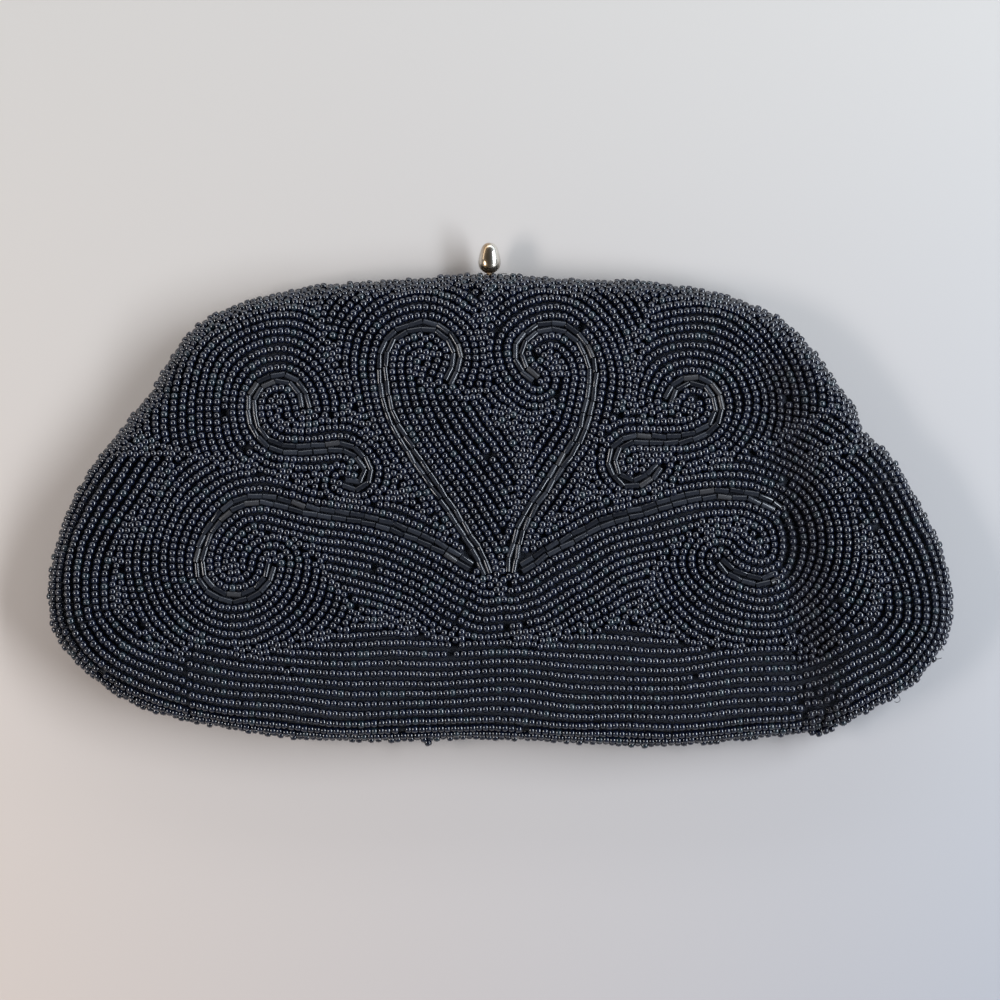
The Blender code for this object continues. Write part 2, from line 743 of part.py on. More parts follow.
def inner_pocket(material):
    """The slip pocket sewn on the rear lining."""
    top = z_seam - (rim_radius - lining_layer[1]) + gap
    centre_y = y_bottom + pocket_rise + pocket_height / 2
    corners = []
    for sx, sy, start in ((1, 1, 0), (-1, 1, 90), (-1, -1, 180), (1, -1, 270)):
        middle_x = sx * (pocket_width / 2 - pocket_corner)
        middle_y = centre_y + sy * (pocket_height / 2 - pocket_corner)
        for k in range(corner_steps + 1):
            turn = math.radians(start + 90 * k / corner_steps)
            corners.append((middle_x + pocket_corner * math.cos(turn),
                            middle_y + pocket_corner * math.sin(turn)))
    bm = bmesh.new()
    rings = [[bm.verts.new((x, y, z)) for x, y in corners] for z in (top, top + lining_cloth)]
    close_rings(bm, rings)
    add_object("inner_pocket", bm, material)


def build():
    """Make every piece of the bag."""
    clear_scene()
    beads = finish("black_seed_beads", (0.012, 0.014, 0.022), 0.22, 0.0)
    bugles = finish("black_bugle_beads", (0.010, 0.011, 0.016), 0.12, 0.0)
    card = finish("interlining_card", (0.30, 0.27, 0.22), 0.9, 0.0)
    satin = finish("black_satin", (0.015, 0.014, 0.016), 0.45, 0.0)
    steel = finish("frame_steel", (0.55, 0.53, 0.50), 0.35, 1.0)
    nickel = finish("polished_nickel", (0.80, 0.76, 0.70), 0.12, 1.0)

    above, below = y_hinge + gap / 2, y_fold - gap / 2
    front = shell_part("front_panel_top", outer_cloth, above, True, beads, cloth_ribs,
                       furrow_count(above, y_top))
    fold_part("front_panel_fold", outer_cloth, beads)
    shell_part("front_panel_lower", outer_cloth, below, False, beads, cloth_ribs,
               furrow_count(below, y_bottom))
    rear = rear_shell("rear_panel", outer_cloth, beads, cloth_ribs)
    slot = clasp_slot()
    shape_with(front, slot, "DIFFERENCE")
    shape_with(rear, slot, "DIFFERENCE")

    plate_part("front_interlining_top", card_layer, above, True, card)
    plate_part("front_interlining_lower", card_layer, below, False, card)
    rear_plate("rear_interlining", card_layer, card)

    plate_part("front_lining_top", lining_layer, above, True, satin)
    fold_part("front_lining_fold", lining_layer, satin)
    shell_part("front_lining_lower", lining_layer, below, False, satin, lining_ribs)
    rear_lining = rear_shell("rear_lining", lining_layer, satin, lining_ribs)
    room = sweep_channel("frame_room", channel_room(), end_gap=gap)
    shape_with(rear_lining, room, "DIFFERENCE")
    inner_pocket(satin)

    frame_half("front_frame", 1, steel)
    frame_half("rear_frame", -1, steel)
    hinge_rivet("hinge_rivet_left", -1, steel)
    hinge_rivet("hinge_rivet_right", 1, steel)

    clasp_bracket(steel)
    clasp_pin(steel)
    clasp_lever(nickel)
    clasp_knob(nickel)

    bands = band_boxes()
    for name, shares in scroll_shares.items():
        scroll_parts(name, shares, bands, bugles)


build()
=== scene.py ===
"""Beaded evening bag: seed beads, bugle scrolls, satin lining, hinged frame and knob clasp.

Metres, +Z up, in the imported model's own frame: X runs across the bag, +Y points to the knob,
and the front faces up.
"""

import json
import logging
import math
from collections.abc import Callable
from dataclasses import dataclass
from enum import Enum

import bmesh
import bpy
import numpy as np
from mathutils import Vector
from mathutils.kdtree import KDTree
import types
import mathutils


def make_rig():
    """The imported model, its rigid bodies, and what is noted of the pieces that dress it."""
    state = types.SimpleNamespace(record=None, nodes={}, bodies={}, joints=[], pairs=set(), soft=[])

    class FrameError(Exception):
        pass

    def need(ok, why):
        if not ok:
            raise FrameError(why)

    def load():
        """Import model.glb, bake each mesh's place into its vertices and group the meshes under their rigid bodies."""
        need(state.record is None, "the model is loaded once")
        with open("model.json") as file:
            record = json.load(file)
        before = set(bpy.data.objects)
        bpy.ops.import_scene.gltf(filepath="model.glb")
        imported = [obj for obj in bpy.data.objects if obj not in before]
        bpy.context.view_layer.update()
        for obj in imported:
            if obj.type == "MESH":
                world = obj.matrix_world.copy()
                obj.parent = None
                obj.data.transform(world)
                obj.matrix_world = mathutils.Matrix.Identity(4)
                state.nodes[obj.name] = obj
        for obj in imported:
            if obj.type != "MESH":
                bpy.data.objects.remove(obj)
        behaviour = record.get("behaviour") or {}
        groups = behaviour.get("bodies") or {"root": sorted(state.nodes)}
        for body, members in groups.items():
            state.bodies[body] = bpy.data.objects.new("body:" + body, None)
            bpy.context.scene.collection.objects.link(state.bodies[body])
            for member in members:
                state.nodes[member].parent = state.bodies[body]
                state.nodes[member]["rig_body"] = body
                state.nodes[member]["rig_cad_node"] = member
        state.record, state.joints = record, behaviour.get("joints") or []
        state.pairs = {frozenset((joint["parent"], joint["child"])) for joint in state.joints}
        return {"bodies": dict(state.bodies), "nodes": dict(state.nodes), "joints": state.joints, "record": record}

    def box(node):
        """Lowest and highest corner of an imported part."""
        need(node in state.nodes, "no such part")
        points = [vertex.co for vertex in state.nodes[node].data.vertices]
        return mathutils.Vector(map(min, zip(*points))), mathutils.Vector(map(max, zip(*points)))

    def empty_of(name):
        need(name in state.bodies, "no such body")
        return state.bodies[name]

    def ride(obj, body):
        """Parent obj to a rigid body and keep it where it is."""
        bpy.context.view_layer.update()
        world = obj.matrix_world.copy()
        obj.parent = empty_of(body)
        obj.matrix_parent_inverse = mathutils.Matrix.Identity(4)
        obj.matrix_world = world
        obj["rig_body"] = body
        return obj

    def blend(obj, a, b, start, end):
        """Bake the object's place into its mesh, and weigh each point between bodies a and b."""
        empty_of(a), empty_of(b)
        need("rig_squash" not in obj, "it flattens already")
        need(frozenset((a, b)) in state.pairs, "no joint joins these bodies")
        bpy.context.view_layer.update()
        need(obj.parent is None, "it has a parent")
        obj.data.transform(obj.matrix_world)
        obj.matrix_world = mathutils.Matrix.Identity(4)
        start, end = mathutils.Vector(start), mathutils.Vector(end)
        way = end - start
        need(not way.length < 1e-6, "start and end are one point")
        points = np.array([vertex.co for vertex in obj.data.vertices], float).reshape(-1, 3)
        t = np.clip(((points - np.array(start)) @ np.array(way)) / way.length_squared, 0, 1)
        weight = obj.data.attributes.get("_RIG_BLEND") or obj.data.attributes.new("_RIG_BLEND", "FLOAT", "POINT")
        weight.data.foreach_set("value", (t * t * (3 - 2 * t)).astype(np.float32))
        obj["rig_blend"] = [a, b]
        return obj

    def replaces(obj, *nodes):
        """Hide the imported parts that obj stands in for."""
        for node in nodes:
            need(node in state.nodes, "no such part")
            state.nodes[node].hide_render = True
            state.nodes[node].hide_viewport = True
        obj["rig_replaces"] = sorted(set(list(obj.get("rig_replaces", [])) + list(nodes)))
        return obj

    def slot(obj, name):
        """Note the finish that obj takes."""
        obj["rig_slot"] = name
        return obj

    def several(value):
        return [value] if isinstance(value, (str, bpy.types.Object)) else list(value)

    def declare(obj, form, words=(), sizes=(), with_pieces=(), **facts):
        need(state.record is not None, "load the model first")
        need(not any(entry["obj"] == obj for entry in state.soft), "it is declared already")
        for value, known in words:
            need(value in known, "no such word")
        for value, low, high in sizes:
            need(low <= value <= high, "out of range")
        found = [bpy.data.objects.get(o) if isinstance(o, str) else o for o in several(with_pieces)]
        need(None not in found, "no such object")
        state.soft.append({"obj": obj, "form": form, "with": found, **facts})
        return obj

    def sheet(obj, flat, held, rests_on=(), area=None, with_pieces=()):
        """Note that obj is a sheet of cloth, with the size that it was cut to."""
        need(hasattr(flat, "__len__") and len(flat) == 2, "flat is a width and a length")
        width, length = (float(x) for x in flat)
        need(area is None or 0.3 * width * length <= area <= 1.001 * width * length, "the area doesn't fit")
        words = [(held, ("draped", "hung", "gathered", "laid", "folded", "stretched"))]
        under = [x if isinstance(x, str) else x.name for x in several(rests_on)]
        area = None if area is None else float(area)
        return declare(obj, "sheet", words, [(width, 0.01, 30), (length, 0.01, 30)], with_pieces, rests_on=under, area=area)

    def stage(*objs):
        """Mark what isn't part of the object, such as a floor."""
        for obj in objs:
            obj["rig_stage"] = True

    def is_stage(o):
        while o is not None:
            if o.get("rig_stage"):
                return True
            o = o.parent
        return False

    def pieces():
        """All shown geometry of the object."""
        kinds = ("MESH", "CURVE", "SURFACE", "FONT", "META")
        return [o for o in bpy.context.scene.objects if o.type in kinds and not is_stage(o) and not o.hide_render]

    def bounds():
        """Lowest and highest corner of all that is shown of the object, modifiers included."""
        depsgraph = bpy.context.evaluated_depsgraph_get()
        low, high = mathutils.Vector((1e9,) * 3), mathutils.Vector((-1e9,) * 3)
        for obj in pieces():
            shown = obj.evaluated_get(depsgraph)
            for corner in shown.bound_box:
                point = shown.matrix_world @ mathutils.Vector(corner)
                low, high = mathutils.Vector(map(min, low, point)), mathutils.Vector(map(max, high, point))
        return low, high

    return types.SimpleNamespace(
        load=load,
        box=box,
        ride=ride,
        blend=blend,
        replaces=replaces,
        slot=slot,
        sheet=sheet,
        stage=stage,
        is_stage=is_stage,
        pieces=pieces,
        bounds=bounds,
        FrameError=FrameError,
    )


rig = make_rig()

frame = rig.load()
CAD_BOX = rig.bounds()

logging.basicConfig(level=logging.INFO, format="%(message)s")
log = logging.getLogger("bag")

Colour = tuple[float, float, float]
Points = np.ndarray
Test = Callable[[Points], Points]

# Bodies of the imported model
REAR_HALF = "rear_half"
FRONT_HALF = "front_half"
CLASP = "clasp"

# How far above the hinge line the cloth still bends
BEND_ABOVE_HINGE = 0.009

# How many points are measured against a line at a time, which keeps the arrays small
MOST_AT_ONCE = 8000

# Lengths below this count as nothing
TINY = 1e-6

# Places in the front's list of guides, where the scrolls' guides come last
RIM, BAND, SCROLLS = 0, 1, 2

# Outline, clockwise from the top: shares of half the width, and of the height
OUTLINE_SHARES = (
    (-0.023, 1.000), (0.099, 0.991), (0.220, 0.987), (0.331, 0.981), (0.442, 0.966),
    (0.542, 0.940), (0.619, 0.904), (0.690, 0.840), (0.734, 0.781), (0.774, 0.730),
    (0.805, 0.668), (0.841, 0.634), (0.876, 0.598), (0.907, 0.547), (0.942, 0.483),
    (0.976, 0.419), (0.998, 0.330), (0.993, 0.245), (0.962, 0.187), (0.911, 0.130),
    (0.841, 0.089), (0.763, 0.051), (0.674, 0.030), (0.575, 0.019), (0.442, 0.006),
    (0.309, 0.000), (0.132, 0.009), (-0.045, 0.017), (-0.223, 0.011), (-0.378, 0.013),
    (-0.511, 0.023), (-0.666, 0.049), (-0.776, 0.077), (-0.865, 0.119), (-0.942, 0.181),
    (-0.991, 0.255), (-0.998, 0.340), (-0.982, 0.426), (-0.953, 0.504), (-0.918, 0.568),
    (-0.876, 0.623), (-0.832, 0.677), (-0.792, 0.728), (-0.770, 0.749), (-0.750, 0.790),
    (-0.714, 0.843), (-0.666, 0.894), (-0.595, 0.930), (-0.499, 0.957), (-0.378, 0.977),
    (-0.223, 0.985), (-0.112, 0.996),
)

# Scroll centre lines: shares of half the width, and of the height
SCROLL_SHARES = {
    "left_heart_scroll": (
        (-0.116, 0.766), (-0.103, 0.794), (-0.094, 0.821), (-0.103, 0.853), (-0.123, 0.872),
        (-0.147, 0.887), (-0.181, 0.889), (-0.214, 0.879), (-0.243, 0.860), (-0.256, 0.830),
        (-0.260, 0.789), (-0.249, 0.726), (-0.233, 0.683), (-0.189, 0.613), (-0.132, 0.534),
        (-0.079, 0.457), (-0.041, 0.396), (-0.030, 0.364),
    ),
    "right_heart_scroll": (
        (0.079, 0.774), (0.054, 0.794), (0.041, 0.817), (0.039, 0.845), (0.058, 0.868),
        (0.085, 0.883), (0.114, 0.889), (0.143, 0.883), (0.172, 0.860), (0.192, 0.830),
        (0.203, 0.789), (0.200, 0.753), (0.182, 0.674), (0.161, 0.636), (0.099, 0.549),
        (0.050, 0.474), (0.028, 0.404), (0.021, 0.368),
    ),
    "left_side_scroll": (
        (-0.426, 0.713), (-0.431, 0.734), (-0.442, 0.757), (-0.460, 0.774), (-0.482, 0.779),
        (-0.511, 0.774), (-0.533, 0.760), (-0.546, 0.734), (-0.548, 0.706), (-0.541, 0.677),
        (-0.528, 0.657), (-0.510, 0.643), (-0.482, 0.630), (-0.422, 0.628), (-0.363, 0.634),
        (-0.338, 0.632), (-0.316, 0.619), (-0.298, 0.600), (-0.289, 0.581), (-0.298, 0.560),
        (-0.318, 0.549), (-0.344, 0.560),
    ),
    "right_side_scroll": (
        (0.367, 0.728), (0.373, 0.745), (0.387, 0.764), (0.409, 0.772), (0.433, 0.772),
        (0.460, 0.762), (0.473, 0.743), (0.480, 0.717), (0.473, 0.691), (0.455, 0.670),
        (0.426, 0.657), (0.387, 0.649), (0.309, 0.649), (0.282, 0.649), (0.260, 0.638),
        (0.247, 0.621), (0.243, 0.600), (0.251, 0.579), (0.271, 0.560), (0.298, 0.557),
        (0.327, 0.570), (0.349, 0.594),
    ),
    "left_low_scroll": (
        (-0.502, 0.387), (-0.511, 0.357), (-0.533, 0.332), (-0.566, 0.317), (-0.606, 0.317),
        (-0.635, 0.332), (-0.655, 0.357), (-0.661, 0.387), (-0.655, 0.423), (-0.635, 0.464),
        (-0.608, 0.494), (-0.577, 0.515), (-0.539, 0.523), (-0.502, 0.521), (-0.413, 0.498),
        (-0.318, 0.485), (-0.228, 0.462), (-0.145, 0.428), (-0.107, 0.407), (-0.064, 0.380),
    ),
    "right_low_scroll": (
        (0.045, 0.376), (0.100, 0.412), (0.141, 0.432), (0.220, 0.472), (0.331, 0.504),
        (0.426, 0.530), (0.522, 0.534), (0.574, 0.521), (0.613, 0.500), (0.639, 0.464),
        (0.648, 0.419), (0.630, 0.377), (0.588, 0.353), (0.550, 0.353), (0.504, 0.372),
        (0.480, 0.394),
    ),
}

# The knob's turned profile: shares of its height from the foot, and of its radius
KNOB_SHARES = (
    (0.000, 0.36), (0.040, 0.52), (0.120, 0.78), (0.230, 0.95), (0.365, 1.00), (0.530, 0.94),
    (0.700, 0.83), (0.840, 0.69), (0.930, 0.52), (0.975, 0.34), (0.994, 0.17), (1.000, 0.00),
)

# The knob's painted warm reflection, a brass-coloured stripe down its left side: its middle and half width, as shares
# of the knob's width
WARM_REFLECTION_AT = 0.34
WARM_REFLECTION_HALF = 0.27

# The crease on the right: its lowest and highest corner
CREASE = ((0.0672, -0.0200), (0.0800, -0.0045))


class Face(Enum):
    """The side of the bag that a layer belongs to."""

    FRONT = 1
    REAR = -1


class BeadKind(Enum):
    """What is set on a line of points: the two shapes of glass bead, and a stitch."""

    SEED = "seed"
    BUGLE = "bugle"
    STITCH = "stitch"


def smooth_curve(points: Points, closed: bool, steps: int) -> Points:
    """Run a Catmull-Rom curve through the points.

    Args:
        points: the points to pass through.
        closed: whether the curve returns to its start.
        steps: how many steps each span takes.

    Returns:
        The curve's points.
    """
    knots = np.asarray(points, dtype=float)
    count = len(knots)
    curve = []
    for i in range(count if closed else count - 1):
        around = [i + k - 1 for k in range(4)]
        if closed:
            a, b, c, d = (knots[k % count] for k in around)
        else:
            a, b, c, d = (knots[min(max(k, 0), count - 1)] for k in around)
        for step in range(steps):
            t = step / steps
            curve.append(0.5 * (2 * b + (c - a) * t + (2 * a - 5 * b + 4 * c - d) * t ** 2
                                + (3 * b - a - 3 * c + d) * t ** 3))
    if not closed:
        curve.append(knots[-1])
    return np.array(curve)


def lengths_along(line: Points) -> Points:
    """Length from the start of a line to each of its points."""
    steps = np.linalg.norm(np.diff(line, axis=0), axis=1)
    return np.concatenate(([0.0], np.cumsum(steps)))


def read_at(line: Points, along: Points, wanted: Points) -> Points:
    """Read a line at the wanted lengths along it."""
    return np.column_stack([np.interp(wanted, along, line[:, k]) for k in range(line.shape[1])])


def spread_evenly(line: Points, count: int) -> Points:
    """Read count points at even steps along an open line."""
    along = lengths_along(line)
    return read_at(line, along, np.linspace(0.0, along[-1], count))


def unit(vectors: Points) -> Points:
    """Scale vectors to a length of one."""
    return vectors / np.maximum(np.linalg.norm(vectors, axis=-1, keepdims=True), 1e-12)


def as_share(values: Points) -> Points:
    """Keep values between nothing and one."""
    return np.clip(values, 0.0, 1.0)


def eased(share: Points) -> Points:
    """Ease shares in near nothing and out near one."""
    return share * share * (3 - 2 * share)


def to_left(ahead: Points) -> Points:
    """Flat directions turned a quarter to the left."""
    return np.column_stack((-ahead[:, 1], ahead[:, 0]))


def parts_of(flat: Points) -> list[Points]:
    """The points in parts that are small enough to measure."""
    return np.array_split(flat, len(flat) // MOST_AT_ONCE + 1)


def gaps_to(part: Points, starts: Points, runs: Points) -> tuple[Points, Points]:
    """Measure points against straight segments.

    Args:
        part: the points.
        starts: where each segment starts.
        runs: the way from each start to the segment's end.

    Returns:
        For every point and segment, the share of the segment where its nearest place lies,
        and the way from that place to the point.
    """
    away = part[:, None] - starts[None]
    share = as_share((away * runs).sum(axis=2) / (runs ** 2).sum(axis=1))
    return share, away - share[..., None] * runs


def to_segments(flat: Points, line: Points) -> Points:
    """Measure how far points lie from an open line.

    Args:
        flat: points in the plane.
        line: the line's points.

    Returns:
        The distance of each point.
    """
    starts, runs = line[:-1], np.diff(line, axis=0)
    found = [(gaps_to(part, starts, runs)[1] ** 2).sum(axis=2).min(axis=1)
             for part in parts_of(flat)]
    return np.sqrt(np.concatenate(found))


def in_crease(flat: Points, reach: float = 0.0) -> Points:
    """Tell which points lie in the crease on the right, where beads close over a scroll.

    Args:
        flat: points in the plane.
        reach: how far beyond the crease to look.

    Returns:
        True for each point inside.
    """
    low, high = np.array(CREASE) + ((-reach,), (reach,))
    return ((flat > low) & (flat < high)).all(axis=1)


class Ring:
    """A closed line, clockwise, that tells how deep points lie inside it."""

    def __init__(self, points: Points) -> None:
        """Work out the inward directions.

        Args:
            points: the line's points.
        """
        self.points = points
        ahead = unit(np.roll(points, -1, axis=0) - np.roll(points, 1, axis=0))
        self.inward = np.column_stack((ahead[:, 1], -ahead[:, 0]))

    def moved_in(self, depth: float) -> "Ring":
        """The ring moved inwards by a depth."""
        return Ring(self.points + self.inward * depth)

    def measure(self, flat: Points) -> tuple[Points, Points]:
        """Measure points against the ring.

        Args:
            flat: points in the plane.

        Returns:
            Each point's depth inside, negative outside, and the inward direction there.
        """
        runs = np.roll(self.points, -1, axis=0) - self.points
        following = np.roll(self.inward, -1, axis=0)
        depths, directions = [], []
        for part in parts_of(flat):
            share, gaps = gaps_to(part, self.points, runs)
            reach = (gaps ** 2).sum(axis=2)
            rows = np.arange(len(part))
            nearest = reach.argmin(axis=1)
            near = share[rows, nearest][:, None]
            inward = unit(self.inward[nearest] * (1 - near) + following[nearest] * near)
            side = np.sign((gaps[rows, nearest] * inward).sum(axis=1))
            depths.append(np.sqrt(reach[rows, nearest]) * side)
            directions.append(inward)
        return np.concatenate(depths), np.concatenate(directions)


@dataclass
class BagShape:
    """The bag's outline and round surface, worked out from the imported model."""

    crown_reach: float = 0.038
    outline_points: int = 240
    dent_depth: float = 0.0030
    dent_half_width: float = 0.0078
    dent_route: tuple = ((0.0700, 0.0330), (0.0725, 0.0266), (0.0763, -0.0015), (0.0800, -0.0420))
    wave_height: float = 0.00022
    wave_length: float = 0.046
    seam_gap: float = 0.00015

    def __post_init__(self) -> None:
        """Read the sizes from the frame and make the outline."""
        low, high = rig.box("rear_panel")
        hinge = next(j for j in frame["joints"] if j["name"] == "frame_hinge")
        self.y_hinge, self.z_seam = hinge["pos_m"][1:]
        self.rim_radius = self.z_seam
        self.width = high.x - low.x
        self.y_bottom, self.y_top = low.y, high.y
        self.height = self.y_top - self.y_bottom
        self.crown_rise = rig.box("front_panel_lower")[1].z - 2 * self.z_seam
        self.y_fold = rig.box("front_panel_fold")[0].y
        self.outline = Ring(self._outline())

    def _outline(self) -> Points:
        """Draw the outline so that it fills the model's own width and height.

        Returns:
            Even points, clockwise.
        """
        rough = smooth_curve(self.place_shares(OUTLINE_SHARES), True, 6)
        even = spread_evenly(np.vstack((rough, rough[:1])), self.outline_points + 1)[:-1]
        low, high = even.min(axis=0), even.max(axis=0)
        corner = np.array((-self.width / 2, self.y_bottom))
        return corner + (even - low) / (high - low) * np.array((self.width, self.height))

    def place_shares(self, shares: tuple) -> Points:
        """Turn shares of the half width and the height into places on the bag."""
        return np.array([(x * self.width / 2, self.y_bottom + y * self.height) for x, y in shares])

    def sag(self, plan: Points) -> Points:
        """How far the soft front lies above its even crown: one long dent and a slow wave.

        Args:
            plan: the points, seen from above.

        Returns:
            Heights, negative in the dent.
        """
        route = smooth_curve(self.dent_route, False, 8)
        dent = np.exp(-(to_segments(plan, route) / self.dent_half_width) ** 2)
        x, y = (plan * (2 * math.pi / self.wave_length)).T
        wave = np.sin(x + 1) * np.cos(y * 1.3 + x / 3)
        return self.wave_height * wave - self.dent_depth * dent

    def height_at(self, depth: Points, plan: Points, below: float, face: Face) -> Points:
        """Height of a layer over the seam.

        Args:
            depth: how deep each point lies inside the layer's own edge.
            plan: the points, seen from above.
            below: how far the layer lies under the bag's outer surface.
            face: the side of the bag.

        Returns:
            Heights, measured away from the seam.
        """
        radius = self.rim_radius - below
        along = np.clip(radius - depth, 0.0, radius)
        height = np.sqrt(radius ** 2 - along ** 2)
        if face is Face.FRONT:
            rise = as_share(depth / self.crown_reach)
            height = height + self.crown_rise * (1 - (1 - rise) ** 2)
            height = height + self.sag(plan) * as_share(depth / radius) ** 2
        return height


class WrappedSurface:
    """A layer of the bag spread flat, so that lengths in it are lengths round the rim."""

    steps_in_radius: int = 40

    def __init__(self, shape: BagShape, below: float, face: Face) -> None:
        """Work out the layer's edge and how much cloth the round rim takes up.

        Args:
            shape: the bag's shape.
            below: how far the layer lies under the bag's outer surface.
            face: the side of the bag.
        """
        self.shape, self.below, self.face = shape, below, face
        self.radius = shape.rim_radius - below
        self.edge = shape.outline.moved_in(below)
        self.wrap = self.radius * (math.pi / 2 - 1)

    def corners(self) -> tuple[Points, Points]:
        """The lowest and the highest corner of the flat layer."""
        points = self.edge.points
        return points.min(axis=0) - self.wrap, points.max(axis=0) + self.wrap

    def from_seam(self, flat: Points) -> Points:
        """Length over the surface from the seam to each flat point."""
        return self.edge.measure(flat)[0] + self.wrap

    def place(self, flat: Points) -> Points:
        """Wrap flat points round the bag.

        Args:
            flat: flat points.

        Returns:
            Their places in space.
        """
        depth, inward = self.edge.measure(flat)
        turn = np.clip((self.radius - depth) / self.radius, 0.0, math.pi / 2)
        true = np.where(depth < self.radius, self.radius * (1 - np.sin(turn)), depth)
        plan = flat + inward * (true - depth)[:, None]
        height = self.shape.height_at(true, plan, self.below, self.face)
        return np.column_stack((plan, self.shape.z_seam + self.face.value * height))

    def directions(self, flat: Points, along: Points) -> tuple[Points, Points]:
        """Turn flat directions into directions on the bag.

        Args:
            flat: flat points.
            along: a flat direction at each point.

        Returns:
            The same directions on the bag, and the directions straight out of it.
        """
        step = self.radius / self.steps_in_radius
        aside = to_left(along)
        ahead = self.place(flat + along * step) - self.place(flat - along * step)
        across = self.place(flat + aside * step) - self.place(flat - aside * step)
        return unit(ahead), unit(np.cross(ahead, across)) * self.face.value


@dataclass
class BeadSet:
    """Beads to be set: places, thread directions and outward directions."""

    places: Points
    along: Points
    out: Points

    def pick(self, mask: Points) -> "BeadSet":
        """The beads that a mask keeps."""
        return BeadSet(self.places[mask], self.along[mask], self.out[mask])


class Guide:
    """A line of the pattern that rows of beads run beside."""

    cap_steps: int = 24

    def __init__(self, line: Points, first: float, pitch: float, rows: int) -> None:
        """Keep the line, the first row's distance, the step between rows and their number."""
        self.line, self.first, self.pitch, self.rows = line, first, pitch, rows

    def distance(self, flat: Points) -> Points:
        """Distance of flat points from the guide."""
        return to_segments(flat, self.line)

    def row(self, away: float) -> Points:
        """Draw a row round an open guide, with round ends.

        Args:
            away: how far the row lies from the guide.

        Returns:
            The row's line, closed.
        """
        aside = to_left(unit(np.gradient(self.line, axis=0))) * away
        caps = []
        for centre, start in ((self.line[-1], aside[-1]), (self.line[0], -aside[0])):
            turn = -np.linspace(0.0, math.pi, self.cap_steps)
            cos, sin = np.cos(turn), np.sin(turn)
            caps.append(centre + np.column_stack((start[0] * cos - start[1] * sin,
                                                  start[0] * sin + start[1] * cos)))
        there, back = self.line + aside, (self.line - aside)[::-1]
        return np.vstack((there, caps[0], back, caps[1], there[:1]))


class RimGuide(Guide):
    """The seam round the bag."""

    def __init__(self, surface: WrappedSurface, first: float, pitch: float, rows: int) -> None:
        """Keep the surface whose seam the rows follow."""
        super().__init__(surface.edge.points, first, pitch, rows)
        self.surface = surface

    def distance(self, flat: Points) -> Points:
        """Length over the surface from the seam."""
        return self.surface.from_seam(flat)

    def row(self, away: float) -> Points:
        """The seam moved inwards over the surface."""
        ring = self.surface.edge.moved_in(away - self.surface.wrap).points
        return np.vstack((ring, ring[:1]))


class BandGuide(Guide):
    """The bottom edge, run straight on at both ends, for the rows of the bottom band."""

    end_points: int = 6
    fine_points: int = 200

    def __init__(self, surface: WrappedSurface, half: float, reach: float, first: float,
                 pitch: float, rows: int) -> None:
        """Cut the bottom edge out of the seam and lengthen it.

        Args:
            surface: the surface whose seam it is cut from.
            half: how far to each side the edge is followed.
            reach: how far to each side it is lengthened.
            first: the first row's distance.
            pitch: the step between rows.
            rows: the number of rows.
        """
        flat = surface.edge.moved_in(-surface.wrap).points
        keep = flat[(np.abs(flat[:, 0]) < half) & (flat[:, 1] < surface.shape.y_hinge)]
        keep = keep[keep[:, 0].argsort()]
        ends = []
        step = self.end_points
        for tip, inner in ((keep[0], keep[step]), (keep[-1], keep[-1 - step])):
            run = unit(tip - inner)
            ends.append(tip + run * (reach - abs(tip[0])))
        super().__init__(np.vstack((ends[0], keep, ends[1])), first, pitch, rows)

    def distance(self, flat: Points) -> Points:
        """Distance above the bottom edge."""
        height = np.interp(flat[:, 0], self.line[:, 0], self.line[:, 1])
        return to_segments(flat, self.line) * np.sign(flat[:, 1] - height)

    def row(self, away: float) -> Points:
        """The bottom edge moved upwards."""
        fine = spread_evenly(self.line, self.fine_points)
        return fine + to_left(unit(np.gradient(fine, axis=0))) * away


class DistanceMap:
    """Distances worked out once on a fine grid over the bag, and read between its points."""

    def __init__(self, low: Points, high: Points, step: float, measures: list[Test]) -> None:
        """Measure every distance at every point of the grid.

        Args:
            low: the lowest corner of the area.
            high: its highest corner.
            step: the size of a cell.
            measures: what tells each distance.
        """
        self.low, self.step = low, step
        xs, ys = (np.arange(a, b + step, step) for a, b in zip(low, high))
        grid = np.stack(np.meshgrid(xs, ys, indexing="ij"), axis=2)
        self.values = np.array([measure(grid.reshape(-1, 2)).reshape(len(xs), len(ys))
                                for measure in measures])

    def read(self, flat: Points) -> Points:
        """Read every distance at every flat point.

        Args:
            flat: flat points.

        Returns:
            One row of distances for each kind.
        """
        spot = (flat - self.low) / self.step
        last = np.array(self.values.shape[1:]) - 2
        cell = np.clip(spot.astype(int), 0, last)
        (u, v), (i, j) = as_share(spot - cell).T, cell.T
        near, far = self.values[:, i, j], self.values[:, i + 1, j]
        above, beyond = self.values[:, i, j + 1], self.values[:, i + 1, j + 1]
        return (near * (1 - u) + far * u) * (1 - v) + (above * (1 - u) + beyond * u) * v


